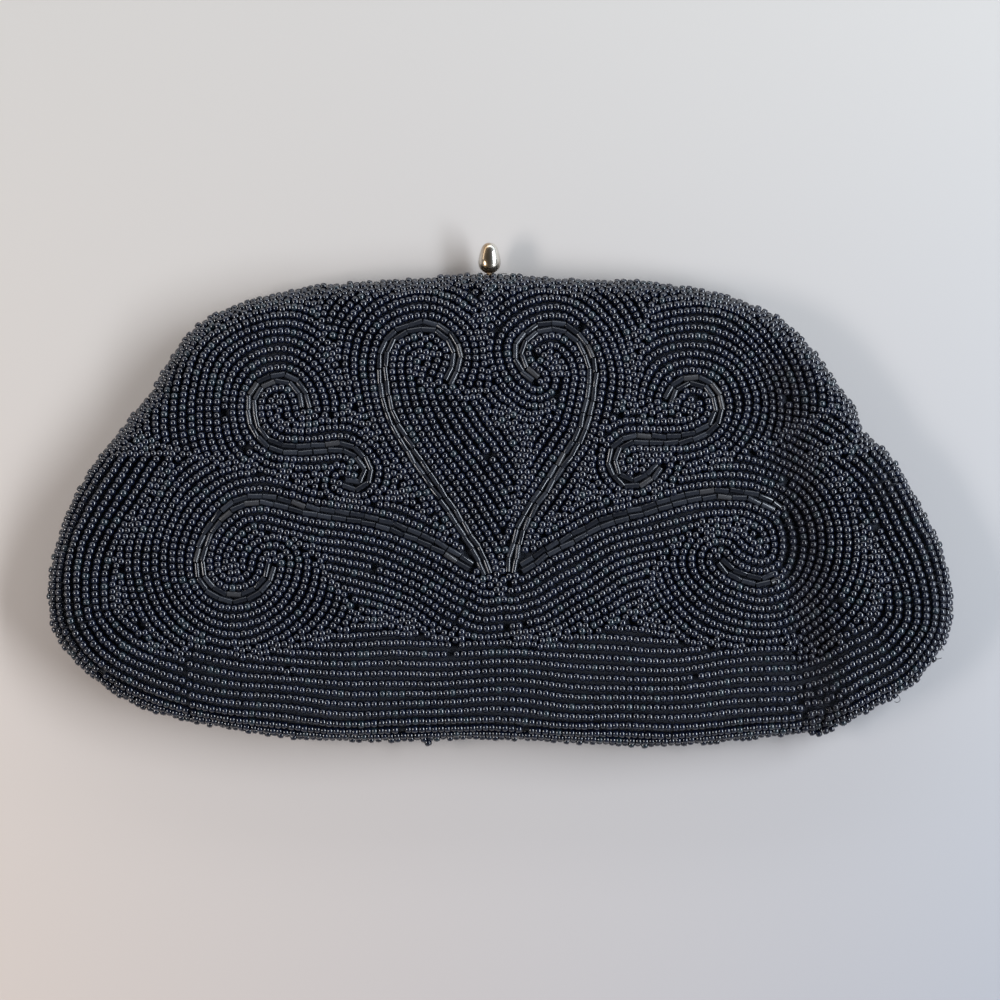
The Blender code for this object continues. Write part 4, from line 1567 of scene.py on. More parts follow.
class BeadTree:
    """The Geometry Nodes tree that sets one kind of bead on every point."""

    bevel: float = 0.12
    numbers: tuple[str, ...] = ("Width", "Length", "Hole Share", "Size Spread", "Tilt")
    counts: tuple[str, ...] = ("Sides", "Section Sides")

    def __init__(self, kind: BeadKind) -> None:
        """Build the tree.

        Args:
            kind: what is set on the points.
        """
        self.group = bpy.data.node_groups.new(f"set_{kind.value}_beads", "GeometryNodeTree")
        self.book = NodeBook(self.group)
        self.inputs: dict[str, str] = {}
        self._socket("Geometry", "NodeSocketGeometry")
        for name in self.numbers:
            self._socket(name, "NodeSocketFloat")
        for name in (*self.counts, "Seed"):
            self._socket(name, "NodeSocketInt")
        self._socket("Finish", "NodeSocketMaterial")
        self.group.interface.new_socket("Geometry", in_out="OUTPUT",
                                        socket_type="NodeSocketGeometry")
        self.given = self.book.add("NodeGroupInput").outputs
        self.book.add("NodeGroupOutput", {}, {"Geometry": self._string(self._bead(kind))})

    def _socket(self, name: str, kind: str) -> None:
        """Add a named input."""
        item = self.group.interface.new_socket(name, in_out="INPUT", socket_type=kind)
        self.inputs[name] = item.identifier

    def _bead(self, kind: BeadKind) -> Wire:
        """Make one bead with a hole, swept round Z at a size of one, then sized and laid along X.

        Args:
            kind: what is made.

        Returns:
            The bead.
        """
        wire, given = self.book.wire, self.given
        hole = Wire(self.book, given["Hole Share"])
        ring = wire("GeometryNodeCurvePrimitiveCircle", {},
                    {"Resolution": given["Sides"], "Radius": (1.0 + hole) / 4.0})
        if kind is BeadKind.BUGLE:
            box = wire("GeometryNodeCurvePrimitiveQuadrilateral", {}, {"Width": 2.0, "Height": 2.0})
            rough = wire("GeometryNodeFilletCurve", {"mode": "POLY"},
                         {"Curve": box, "Radius": self.bevel, "Count": 1})
        else:
            rough = wire("GeometryNodeCurvePrimitiveCircle", {},
                         {"Resolution": given["Section Sides"], "Radius": 1.0})
        scale = wire("ShaderNodeCombineXYZ", {}, {"X": (1.0 - hole) / 4.0, "Y": 0.5})
        section = wire("GeometryNodeTransform", {}, {"Geometry": rough, "Scale": scale})
        swept = wire("GeometryNodeCurveToMesh", {}, {"Curve": ring, "Profile Curve": section})
        size = wire("ShaderNodeCombineXYZ", {},
                    {"X": given["Width"], "Y": given["Width"], "Z": given["Length"]})
        sized = wire("GeometryNodeTransform", {}, {"Geometry": swept, "Scale": size})
        laid = wire("GeometryNodeTransform", {},
                    {"Geometry": sized, "Rotation": (0.0, math.pi / 2, 0.0)})
        return wire("GeometryNodeSetShadeSmooth", {}, {"Geometry": laid})

    def _string(self, bead: Wire) -> Wire:
        """Set a bead on every point, along its thread, with its own tilt, spin and size.

        Args:
            bead: the bead.

        Returns:
            All the beads, with their finish.
        """
        wire, given = self.book.wire, self.given
        along, out = (wire("GeometryNodeInputNamedAttribute", {"data_type": "FLOAT_VECTOR"},
                           {"Name": name}) for name in ("along", "out"))
        first = wire("FunctionNodeAlignRotationToVector", {"axis": "X"}, {"Vector": along})
        turned = wire("FunctionNodeAlignRotationToVector", {"axis": "Z", "pivot_axis": "X"},
                      {"Rotation": first, "Vector": out})
        tilt = Wire(self.book, given["Tilt"])
        most = wire("ShaderNodeCombineXYZ", {}, {"X": math.pi, "Y": tilt, "Z": tilt})
        least = wire("ShaderNodeCombineXYZ", {},
                     {"X": -math.pi, "Y": tilt * -1.0, "Z": tilt * -1.0})
        lean = wire("FunctionNodeRandomValue", {"data_type": "FLOAT_VECTOR"},
                    {0: least, 1: most, "Seed": given["Seed"]})
        lean = wire("FunctionNodeEulerToRotation", {}, {0: lean})
        leaning = wire("FunctionNodeRotateRotation", {"rotation_space": "LOCAL"},
                       {"Rotation": turned, "Rotate By": lean})
        spread = Wire(self.book, given["Size Spread"])
        size = wire("FunctionNodeRandomValue", {"data_type": "FLOAT"},
                    {2: 1.0 - spread, 3: 1.0 + spread, "Seed": given["Seed"]}, output=1)
        placed = wire("GeometryNodeInstanceOnPoints", {},
                      {"Points": given["Geometry"], "Instance": bead, "Rotation": leaning,
                       "Scale": size})
        real = wire("GeometryNodeRealizeInstances", {}, {"Geometry": placed})
        return wire("GeometryNodeSetMaterial", {}, {"Geometry": real, "Material": given["Finish"]})

    def grow(self, name: str, beads: BeadSet, form: BeadForm, finish: bpy.types.Material,
             seed: int, tints: Points) -> bpy.types.Object:
        """Set the beads and keep the result as a plain mesh.

        Args:
            name: the piece's name.
            beads: where the beads go.
            form: the beads' form.
            finish: their material.
            seed: the seed of their sizes and tilts.
            tints: a shade for each bead.

        Returns:
            The finished piece, at the origin.
        """
        mesh = bpy.data.meshes.new(f"{name}_points")
        mesh.from_pydata([tuple(p) for p in beads.places], [], [])
        for key, vectors in (("along", beads.along), ("out", beads.out)):
            attribute = mesh.attributes.new(key, "FLOAT_VECTOR", "POINT")
            attribute.data.foreach_set("vector", vectors.astype(np.float32).ravel())
        shade = mesh.attributes.new("tint", "FLOAT", "POINT")
        shade.data.foreach_set("value", tints.astype(np.float32))
        source = add_object(f"{name}_points", mesh)
        modifier = source.modifiers.new("beads", "NODES")
        modifier.node_group = self.group
        modifier[self.inputs["Finish"]], modifier[self.inputs["Seed"]] = finish, seed
        for key in (*self.numbers, *self.counts):
            modifier[self.inputs[key]] = getattr(form, key.lower().replace(" ", "_"))
        made = to_mesh(source, name)
        for key in ("along", "out"):
            if key in made.data.attributes:
                made.data.attributes.remove(made.data.attributes[key])
        return made


def add_object(name: str, data: bpy.types.ID) -> bpy.types.Object:
    """Put an object into the scene.

    Args:
        name: its name.
        data: its mesh, curve, light or camera.

    Returns:
        The object.
    """
    made = bpy.data.objects.new(name, data)
    bpy.context.scene.collection.objects.link(made)
    return made


def to_mesh(source: bpy.types.Object, name: str) -> bpy.types.Object:
    """Turn an object with its modifiers into a plain piece, and remove the original.

    Args:
        source: the object.
        name: the piece's name.

    Returns:
        The piece.
    """
    graph = bpy.context.evaluated_depsgraph_get()
    mesh = bpy.data.meshes.new_from_object(source.evaluated_get(graph))
    mesh.name = name
    bpy.data.objects.remove(source)
    return add_object(name, mesh)


def add_quads(bm: bmesh.types.BMesh, lines: list) -> None:
    """Join each line of vertices to the next with faces.

    Args:
        bm: the mesh in work.
        lines: lines of vertices, all of one length.
    """
    for left, right in zip(lines[:-1], lines[1:]):
        for k in range(len(left) - 1):
            bm.faces.new((left[k], left[k + 1], right[k + 1], right[k]))


def to_skin(bm: bmesh.types.BMesh, name: str, finish: bpy.types.Material,
            wall: float = 0.0, offset: float = -1.0) -> bpy.types.Object:
    """Turn a mesh in work into a smooth piece, and let go of it.

    Args:
        bm: the mesh in work.
        name: the piece's name.
        finish: its material.
        wall: how thick it becomes, or nothing for a solid that is already closed.
        offset: the side that it thickens to, against its faces or along them.

    Returns:
        The piece.
    """
    mesh = bpy.data.meshes.new(name)
    bm.to_mesh(mesh)
    bm.free()
    mesh.materials.append(finish)
    mesh.shade_smooth()
    if not wall:
        return add_object(name, mesh)
    sheet = add_object(f"{name}_sheet", mesh)
    solid = sheet.modifiers.new("wall", "SOLIDIFY")
    solid.thickness, solid.offset = wall, offset
    return to_mesh(sheet, name)


def hand_over(piece: bpy.types.Object, shape: BagShape, body: str | None, slot: str,
              nodes: tuple = ()) -> None:
    """Say what a piece moves with, what it stands for and what it is made of.

    Args:
        piece: the piece.
        shape: the bag's shape.
        body: the body that it moves with, or None where it bends over the fold.
        slot: its material slot.
        nodes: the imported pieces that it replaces.
    """
    if body:
        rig.ride(piece, body)
    else:
        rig.blend(piece, REAR_HALF, FRONT_HALF, start=(0.0, shape.y_fold, shape.z_seam),
                 end=(0.0, shape.y_hinge + BEND_ABOVE_HINGE, shape.z_seam))
    if nodes:
        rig.replaces(piece, *nodes)
    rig.slot(piece, slot)
    count = sum(len(face.vertices) - 2 for face in piece.data.polygons)
    log.info("%s: %d triangles", piece.name, count)


@dataclass
class Beadwork:
    """All the seed beads of the bag."""

    shape: BagShape
    finish: bpy.types.Material
    form: BeadForm = BeadForm(width=0.00204, length=0.00163, hole_share=0.18, size_spread=0.07,
                              tilt=math.radians(9), sides=9, section_sides=7)
    proud: float = 0.0003
    stand_out: float = 0.00075
    most_triangles: int = 190000
    clasp_half_width: float = 0.0033
    clasp_lift: float = 0.0011
    rim_reach: float = 0.0023
    pinch: tuple[float, float] = (0.0800, -0.0535)
    pinch_reach: float = 0.0072
    pinch_lift: float = 0.00065
    pinch_shift: float = 0.00030
    pinch_turn: float = 0.30
    loose_beads: tuple = ((-0.0185, -0.0633, 0.0), (0.0811, -0.0609, 0.0006),
                          (0.0844, -0.0598, -0.0004), (0.0793, -0.0606, 0.0014),
                          (0.0827, -0.0602, 0.0016), (0.0873, -0.0581, 0.0004))

    def __post_init__(self) -> None:
        """Make the tree that sets the beads."""
        self.tree = BeadTree(BeadKind.SEED)
        low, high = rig.box("clasp_lever")
        self.clasp_x = (low.x + high.x) / 2

    def layer(self, face: Face) -> WrappedSurface:
        """The surface that the beads' middles lie on."""
        return WrappedSurface(self.shape, self.form.width / 2 - self.proud, face)

    def over_clasp(self, surface: WrappedSurface, flat: Points) -> Points:
        """Move the rows of the front up over the clasp's cheeks.

        Args:
            surface: the surface that the beads lie on.
            flat: their flat places.

        Returns:
            The places after the move.
        """
        depth, inward = surface.edge.measure(flat)
        near = np.exp(-((flat[:, 0] - self.clasp_x) / self.clasp_half_width) ** 2)
        near *= np.exp(-((depth + surface.wrap) / surface.radius) ** 2)
        near *= flat[:, 1] > self.shape.y_hinge
        return flat + inward * (near * self.clasp_lift)[:, None]

    def front(self) -> BeadSet:
        """Set out the beads of the front, some of them loose at the rim and in the pinch.

        Returns:
            The beads.
        """
        surface = self.layer(Face.FRONT)
        rows = BeadRows(surface)
        FrontPattern(self.shape, surface).string(rows)
        flat, along = rows.beads()
        flat = self.over_clasp(surface, flat)
        seam = surface.from_seam(flat)
        loose = rows.random.random(len(flat)) * np.exp(-(seam / self.rim_reach) ** 2)
        pinched = np.linalg.norm(flat - self.pinch, axis=1) / self.pinch_reach
        shoved = rows.random.normal(size=(len(flat), 3)) * np.exp(-pinched ** 2)[:, None]
        flat = flat + shoved[:, :2] * self.pinch_shift
        along = unit(along + shoved[:, 1::-1] * self.pinch_turn)
        places = surface.place(flat)
        ahead, out = surface.directions(flat, along)
        lift = loose * self.stand_out + np.abs(shoved[:, 2]) * self.pinch_lift
        places += out * lift[:, None]
        hanging = np.array([(x, y, self.shape.z_seam + rise) for x, y, rise in self.loose_beads])
        aslant, upward = (np.tile(way, (len(hanging), 1)) for way in
                          (unit(np.array((1.0, 0.3, 0.2))), (0.0, 0.0, 1.0)))
        return BeadSet(np.vstack((places, hanging)), np.vstack((ahead, aslant)),
                       np.vstack((out, upward)))

    def rear(self) -> BeadSet:
        """Set out the beads of the back, with the clasp's slot left free.

        Returns:
            The beads.
        """
        surface = self.layer(Face.REAR)
        rows = BeadRows(surface, seed=23)
        RearPattern(surface).string(rows)
        flat, along = rows.beads()
        places = surface.place(flat)
        beads = BeadSet(places, *surface.directions(flat, along))
        in_slot = np.abs(places[:, 0] - self.clasp_x) < self.clasp_half_width
        in_slot &= places[:, 1] > self.shape.y_top - self.clasp_half_width
        return beads.pick(~in_slot)

    def make(self, name: str, beads: BeadSet, body: str | None, seed: int) -> None:
        """Set beads as one or more pieces.

        Args:
            name: the pieces' name.
            beads: where the beads go.
            body: the body that they move with, or None for the fold.
            seed: the seed of their sizes, tilts and shades.
        """
        each = self.form.sides * self.form.section_sides * 2
        count = math.ceil(len(beads.places) * each / self.most_triangles)
        tints = np.random.default_rng(seed).random(len(beads.places))
        order = beads.places[:, 0].argsort(kind="stable")
        for number, part in enumerate(np.array_split(order, count)):
            full = name if count == 1 else f"{name}_{number + 1}"
            piece = self.tree.grow(full, beads.pick(part), self.form, self.finish,
                                   seed + number, tints[part])
            hand_over(piece, self.shape, body, "seed_beads")

    def build(self) -> None:
        """Bead the front in three stretches, and the back."""
        front = self.front()
        y = front.places[:, 1]
        above = y > self.shape.y_hinge + BEND_ABOVE_HINGE + self.form.width / 2
        below = y < self.shape.y_fold - self.form.width / 2
        self.make("front_beads_top", front.pick(above), FRONT_HALF, 1)
        self.make("front_beads_fold", front.pick(~above & ~below), None, 2)
        self.make("front_beads_lower", front.pick(below), REAR_HALF, 5)
        self.make("rear_beads", self.rear(), REAR_HALF, 9)


@dataclass
class LooseThreads:
    """The ends of sewing thread that stick out between the beads of the rim."""

    shape: BagShape
    thread: bpy.types.Material
    radius: float = 0.00008
    routes: tuple = (
        ((0.1004, -0.0503, 0.0), (0.1013, -0.0512, 0.0006), (0.1018, -0.0524, 0.0008),
         (0.1012, -0.0531, 0.0005), (0.1005, -0.0529, 0.0002)),
        ((0.1100, -0.0415, 0.0), (0.1113, -0.0420, 0.0010), (0.1124, -0.0418, 0.0006)),
        ((0.1108, -0.0388, 0.0), (0.1122, -0.0391, -0.0004), (0.1131, -0.0399, -0.0002)),
        ((-0.0012, 0.0548, 0.0010), (0.0002, 0.0560, 0.0014), (0.0016, 0.0561, 0.0006)),
    )

    def build(self) -> None:
        """Make the threads as thin round curves."""
        curve = bpy.data.curves.new("loose_threads", "CURVE")
        curve.dimensions = "3D"
        curve.bevel_depth, curve.bevel_resolution = self.radius, 2
        curve.use_fill_caps = True
        for route in self.routes:
            knots = np.array(route) + (0.0, 0.0, self.shape.z_seam)
            line = smooth_curve(knots, False, 6)
            spline = curve.splines.new("POLY")
            spline.points.add(len(line) - 1)
            spline.points.foreach_set("co", np.column_stack((line, np.ones(len(line)))).ravel())
        piece = to_mesh(add_object("loose_threads_curve", curve), "loose_threads")
        piece.data.materials.clear()
        piece.data.materials.append(self.thread)
        hand_over(piece, self.shape, REAR_HALF, "seed_beads")


@dataclass
class Scrollwork:
    """The scrolls: two strands of bugle beads side by side."""

    shape: BagShape
    finish: bpy.types.Material
    form: BeadForm = BeadForm(width=0.00146, length=0.00354, hole_share=0.4, size_spread=0.03,
                              tilt=math.radians(7.5), sides=10)
    pitch: float = 0.00376
    strand_offset: float = 0.00084
    lift: float = 0.00012
    below: float = 0.00095
    second_start: float = 0.0006
    fine_step: float = 0.0004
    seed: int = 40
    sharp_angle: float = math.radians(50)

    def strand(self, line: Points, aside: float, start: float) -> tuple[Points, Points]:
        """Lay bugles end to end beside a line.

        Args:
            line: the scroll's centre line.
            aside: how far the strand lies to the left of it.
            start: how far along the first bugle starts.

        Returns:
            The bugles' middles and directions, flat.
        """
        moved = line + to_left(unit(np.gradient(line, axis=0))) * aside
        along = lengths_along(moved)
        count = round((along[-1] - start) / self.pitch)
        starts = start + (along[-1] - start) / count * np.arange(count)
        first = read_at(moved, along, starts)
        last = read_at(moved, along, starts + self.form.length)
        return (first + last) / 2, unit(last - first)

    def build(self) -> None:
        """Make one piece for each scroll."""
        tree = BeadTree(BeadKind.BUGLE)
        surface = WrappedSurface(self.shape, self.below, Face.FRONT)
        for number, (name, shares) in enumerate(SCROLL_SHARES.items()):
            rough = smooth_curve(self.shape.place_shares(shares), False, 8)
            line = spread_evenly(rough, int(lengths_along(rough)[-1] / self.fine_step))
            strands = (self.strand(line, -self.strand_offset, 0.0),
                       self.strand(line, self.strand_offset, self.second_start))
            flat, along = (np.vstack(both) for both in zip(*strands))
            shown = ~in_crease(flat)
            flat, along = flat[shown], along[shown]
            ahead, out = surface.directions(flat, along)
            beads = BeadSet(surface.place(flat) + out * self.lift, ahead, out)
            seed = self.seed + number
            tints = np.random.default_rng(seed).random(len(flat))
            piece = tree.grow(name.replace("scroll", "bugles"), beads, self.form, self.finish,
                              seed, tints)
            piece.data.set_sharp_from_angle(angle=self.sharp_angle)
            nodes = tuple(node for node in frame["nodes"] if node.startswith(name))
            hand_over(piece, self.shape, None, "bugle_beads", nodes)


@dataclass(frozen=True)
class Layer:
    """One layer of the bag: where it lies and what it stands for."""

    name: str
    face: Face
    fans: tuple
    body: str | None
    slot: str
    nodes: tuple


@dataclass(frozen=True)
class LayerKind:
    """What a kind of layer is made of, and how deep it lies."""

    finish: bpy.types.Material
    below: float
    thickness: float
    inset: float = 0.0


@dataclass
class SoftLayers:
    """The cloth under the beads, the interlining and the lining."""

    shape: BagShape
    cloth: bpy.types.Material
    card: bpy.types.Material
    satin: bpy.types.Material
    cloth_below: float = 0.0019
    cloth_thickness: float = 0.0004
    card_below: float = 0.0027
    card_thickness: float = 0.0009
    card_inset: float = 0.010
    lining_below: float = 0.0039
    lining_thickness: float = 0.0005
    lining_inset: float = 0.0099
    ear_room: float = 0.0065
    ear_drop: float = 0.0070
    wrinkle: float = 0.00045
    wrinkle_length: float = 0.0032
    ribs: int = 120
    rim_rows: tuple = (0.0, 0.0004, 0.0011, 0.0021, 0.0034, 0.0049, 0.0068, 0.0090)
    inner_rows: int = 14

    def arc(self, edge: Ring, y_line: float, upper: bool) -> Points:
        """Cut an edge at a line across the bag.

        Args:
            edge: the edge.
            y_line: where the line lies.
            upper: whether the part above it is wanted.

        Returns:
            The part, from left to right.
        """
        points = edge.points
        keep = points[:, 1] > y_line if upper else points[:, 1] < y_line
        count = len(points)
        first = next(i for i in range(count) if keep[i] and not keep[i - 1])
        run = [points[(first + k) % count] for k in range(int(keep.sum()))]
        ends = (points[first - 1], run[0]), (run[-1], points[(first + len(run)) % count])
        cut = [a + (b - a) * (y_line - a[1]) / (b[1] - a[1]) for a, b in ends]
        arc = np.array([cut[0], *run, cut[1]])
        return arc if arc[0, 0] < arc[-1, 0] else arc[::-1]

    def fan(self, edge: Ring, y_line: float, upper: bool) -> Points:
        """Spread ribs from a line across the bag to its edge.

        Args:
            edge: the edge.
            y_line: where the line lies.
            upper: whether the ribs run upwards.

        Returns:
            Flat points, rib by rib.
        """
        rim = spread_evenly(self.arc(edge, y_line, upper), self.ribs + 1)
        roots = np.column_stack((np.linspace(rim[0, 0], rim[-1, 0], self.ribs + 1),
                                 np.full(self.ribs + 1, y_line)))
        grid = []
        for root, tip in zip(roots, rim):
            length = max(float(np.linalg.norm(tip - root)), 1e-9)
            room = length * 0.5 / self.rim_rows[-1]
            near = [row * min(1.0, room) for row in self.rim_rows]
            rest = np.linspace(near[-1], length, self.inner_rows + 1)[1:]
            grid.append([root + (tip - root) * (1 - d / length) for d in (*near, *rest)])
        return np.array(grid)

    def layer(self, plan: Layer, made: LayerKind) -> tuple[bpy.types.Object, dict]:
        """Make one layer.

        Args:
            plan: where it lies.
            made: what it is made of.

        Returns:
            The piece, and the size and area of its cut.
        """
        own = self.shape.outline.moved_in(made.below)
        lined = made.finish is self.satin
        sign = plan.face.value
        bm = bmesh.new()
        for y_line, upper in plan.fans:
            stop = made.below if lined and not upper else max(made.below, made.inset)
            grid = self.fan(self.shape.outline.moved_in(stop), y_line, upper)
            flat = grid.reshape(-1, 2)
            if lined and not upper:
                flat = self.clear_of_ears(flat, own)
            depth = np.maximum(own.measure(flat)[0], 0.0)
            height = self.shape.height_at(depth, flat, made.below, plan.face)
            if lined:
                height = height - self.wrinkles(flat, depth)
            z = self.shape.z_seam + sign * np.maximum(height, self.shape.seam_gap)
            solid = np.column_stack((flat, z)).reshape(*grid.shape[:2], 3)
            add_quads(bm, [[bm.verts.new(p) for p in rib] for rib in solid])
        bmesh.ops.remove_doubles(bm, verts=bm.verts, dist=TINY)
        bmesh.ops.dissolve_degenerate(bm, edges=bm.edges, dist=TINY)
        bm.normal_update()
        turned = [quad for quad in bm.faces if quad.normal.z * sign < 0]
        bmesh.ops.reverse_faces(bm, faces=turned)
        area = sum(quad.calc_area() for quad in bm.faces)
        shadow = sum(quad.calc_area() * abs(quad.normal.z) for quad in bm.faces)
        size = np.ptp([vert.co[:2] for vert in bm.verts], axis=0) * math.sqrt(area / shadow)
        cut = {"flat": tuple(float(side) for side in size), "area": area}
        name = f"{plan.name}_piece" if plan.name in frame["nodes"] else plan.name
        return to_skin(bm, name, made.finish, made.thickness), cut

    def clear_of_ears(self, flat: Points, edge: Ring) -> Points:
        """Draw a lining in beside the hinges, where the frame's ears turn.

        Args:
            flat: flat points of the lining.
            edge: the lining's own edge.

        Returns:
            The points after the move.
        """
        depth, inward = edge.measure(flat)
        near = as_share((flat[:, 1] - self.shape.y_hinge) / self.ear_drop + 1.0)
        wanted = self.ear_room * eased(near)
        fade = as_share(1.0 - (depth - wanted) / self.ear_room)
        return flat + inward * (np.maximum(wanted - np.maximum(depth, 0.0), 0.0) * fade)[:, None]

    def wrinkles(self, flat: Points, depth: Points) -> Points:
        """Tell how far a loose lining stands off the card in soft creases.

        Args:
            flat: flat points of the lining.
            depth: how deep they lie inside its edge.

        Returns:
            Distances in metres.
        """
        x, y = (flat / self.wrinkle_length).T
        folds = np.sin(x * 0.8 + 1.6 * np.sin(y * 0.33)) * np.sin(y * 0.45 + 1.3 * np.sin(x * 0.21))
        return self.wrinkle * folds ** 2 * as_share(depth / self.ear_drop)

    def build(self) -> None:
        """Make every layer."""
        hinge, fold = self.shape.y_hinge, self.shape.y_fold
        whole = ((hinge, False), (hinge, True))
        cloth = LayerKind(self.cloth, self.cloth_below, self.cloth_thickness)
        card = LayerKind(self.card, self.card_below, self.card_thickness, self.card_inset)
        lining = LayerKind(self.satin, self.lining_below, self.lining_thickness, self.lining_inset)
        plans = (
            (cloth, Layer("front_cloth", Face.FRONT, whole, None, "seed_beads",
                          ("front_panel_top", "front_panel_fold", "front_panel_lower"))),
            (cloth, Layer("rear_cloth", Face.REAR, whole, REAR_HALF, "seed_beads",
                          ("rear_panel",))),
            (card, Layer("top_card", Face.FRONT, ((hinge, True),), FRONT_HALF, "interlining",
                         ("front_interlining_top",))),
            (card, Layer("lower_card", Face.FRONT, ((fold, False),), REAR_HALF, "interlining",
                         ("front_interlining_lower",))),
            (card, Layer("rear_card", Face.REAR, whole, REAR_HALF, "interlining",
                         ("rear_interlining",))),
            (lining, Layer("front_lining", Face.FRONT, whole, None, "satin",
                           ("front_lining_top", "front_lining_fold", "front_lining_lower"))),
            (lining, Layer("rear_lining", Face.REAR, whole, REAR_HALF, "satin",
                           ("rear_lining",))),
        )
        for made, plan in plans:
            piece, cut = self.layer(plan, made)
            hand_over(piece, self.shape, plan.body, plan.slot, plan.nodes)
            if made is not card:
                cards = ("top_card", "lower_card") if plan.face is Face.FRONT else ("rear_card",)
                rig.sheet(piece, held="stretched", rests_on=cards, **cut)
                log.info("%s: cut %.1f by %.1f mm, %.1f cm2", piece.name,
                         *(side * 1000 for side in cut["flat"]), cut["area"] * 1e4)


@dataclass
class SlipPocket:
    """The slip pocket on the rear lining: a hemmed satin patch, sewn down on three sides."""

    shape: BagShape
    satin: bpy.types.Material
    thread: bpy.types.Material
    columns: int = 72
    rows: int = 36
    thickness: float = 0.00035
    puff: float = 0.0009
    mouth_gap: float = 0.0011
    hem: float = 0.0060
    hem_step: float = 0.00022
    ripple: float = 0.00016
    side_share: float = 0.12
    foot_share: float = 0.16
    hem_sharpness: float = 180.0
    hem_width: float = 0.97
    waist: float = 0.004
    mouth_dip: float = 0.0007
    sewn_edge: float = 0.0018
    stitch_pitch: float = 0.0023
    stitch_form: BeadForm = BeadForm(width=0.00034, length=0.0016, hole_share=0.1,
                                     size_spread=0.05, tilt=0.05, sides=6, section_sides=6)
    stitch_seed: int = 71

    def surface(self, across: Points, up: Points) -> Points:
        """Height of the patch over its sewn edge.

        Args:
            across: places across the patch, from -1 to 1.
            up: places up the patch, from 0 at the foot to 1 at the mouth.

        Returns:
            Heights in metres.
        """
        side = as_share((1 - np.abs(across)) / self.side_share)
        foot = as_share(up / self.foot_share)
        held = eased(side) * eased(foot)
        open_ = self.mouth_gap * up ** 6 * (1 - across ** 2)
        soft = self.ripple * (1 + np.sin(across * 23 + 2 * np.sin(up * 5))) * (1 - 0.5 * up)
        return held * (self.puff * (0.5 + 0.5 * np.cos(across * 2.2)) + open_ + soft)

    def build(self) -> None:
        """Make the patch and its stitches."""
        low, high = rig.box("inner_pocket")
        size = high - low
        across, up = np.meshgrid(np.linspace(-1, 1, self.columns), np.linspace(0, 1, self.rows),
                                 indexing="ij")
        height = self.surface(across, up)
        hem = self.hem / size.y
        fold = 1 / (1 + np.exp(-(up - 1 + hem) * self.hem_sharpness))
        height += self.hem_step * fold * (np.abs(across) < self.hem_width)
        narrow = 1 - self.waist * np.sin(up * math.pi)
        xs = (low.x + high.x) / 2 + across * narrow * size.x / 2
        ys = low.y + up * size.y - self.mouth_dip * (1 - across ** 2) * up ** 4
        bm = bmesh.new()
        grid = [[bm.verts.new(place) for place in column]
                for column in np.stack((xs, ys, low.z + height), axis=2)]
        add_quads(bm, list(zip(*grid)))
        piece = to_skin(bm, "slip_pocket", self.satin, self.thickness, 1.0)
        hand_over(piece, self.shape, REAR_HALF, "satin", ("inner_pocket",))
        sewn = self.stitch(low, high)
        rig.sheet(piece, flat=(size.x, size.y), held="laid", rests_on=["rear_lining_piece"],
                 with_pieces=[sewn])

    def stitch(self, low: Vector, high: Vector) -> bpy.types.Object:
        """Sew the patch down along its sides and foot.

        Args:
            low: the patch's lowest corner.
            high: its highest corner.

        Returns:
            The stitches.
        """
        edge = self.sewn_edge
        left, right, foot = low.x + edge, high.x - edge, low.y + edge
        route = np.array([(left, high.y - edge), (left, foot + edge), (left + edge, foot),
                          (right - edge, foot), (right, foot + edge), (right, high.y - edge)])
        count = int(lengths_along(route)[-1] / self.stitch_pitch)
        flat = spread_evenly(route, count)
        ahead = unit(np.gradient(flat, axis=0))
        middle_x = (low.x + high.x) / 2
        half = (high.x - low.x) / 2
        across, up = (flat[:, 0] - middle_x) / half, (flat[:, 1] - low.y) / (high.y - low.y)
        zs = low.z + self.surface(across, up) + self.thickness
        sewn = BeadSet(np.column_stack((flat, zs)), np.column_stack((ahead, np.zeros(count))),
                       np.tile((0.0, 0.0, 1.0), (count, 1)))
        tints = np.random.default_rng(self.stitch_seed).random(count)
        piece = BeadTree(BeadKind.STITCH).grow("pocket_stitches", sewn, self.stitch_form,
                                               self.thread, self.stitch_seed, tints)
        hand_over(piece, self.shape, REAR_HALF, "satin")
        return piece


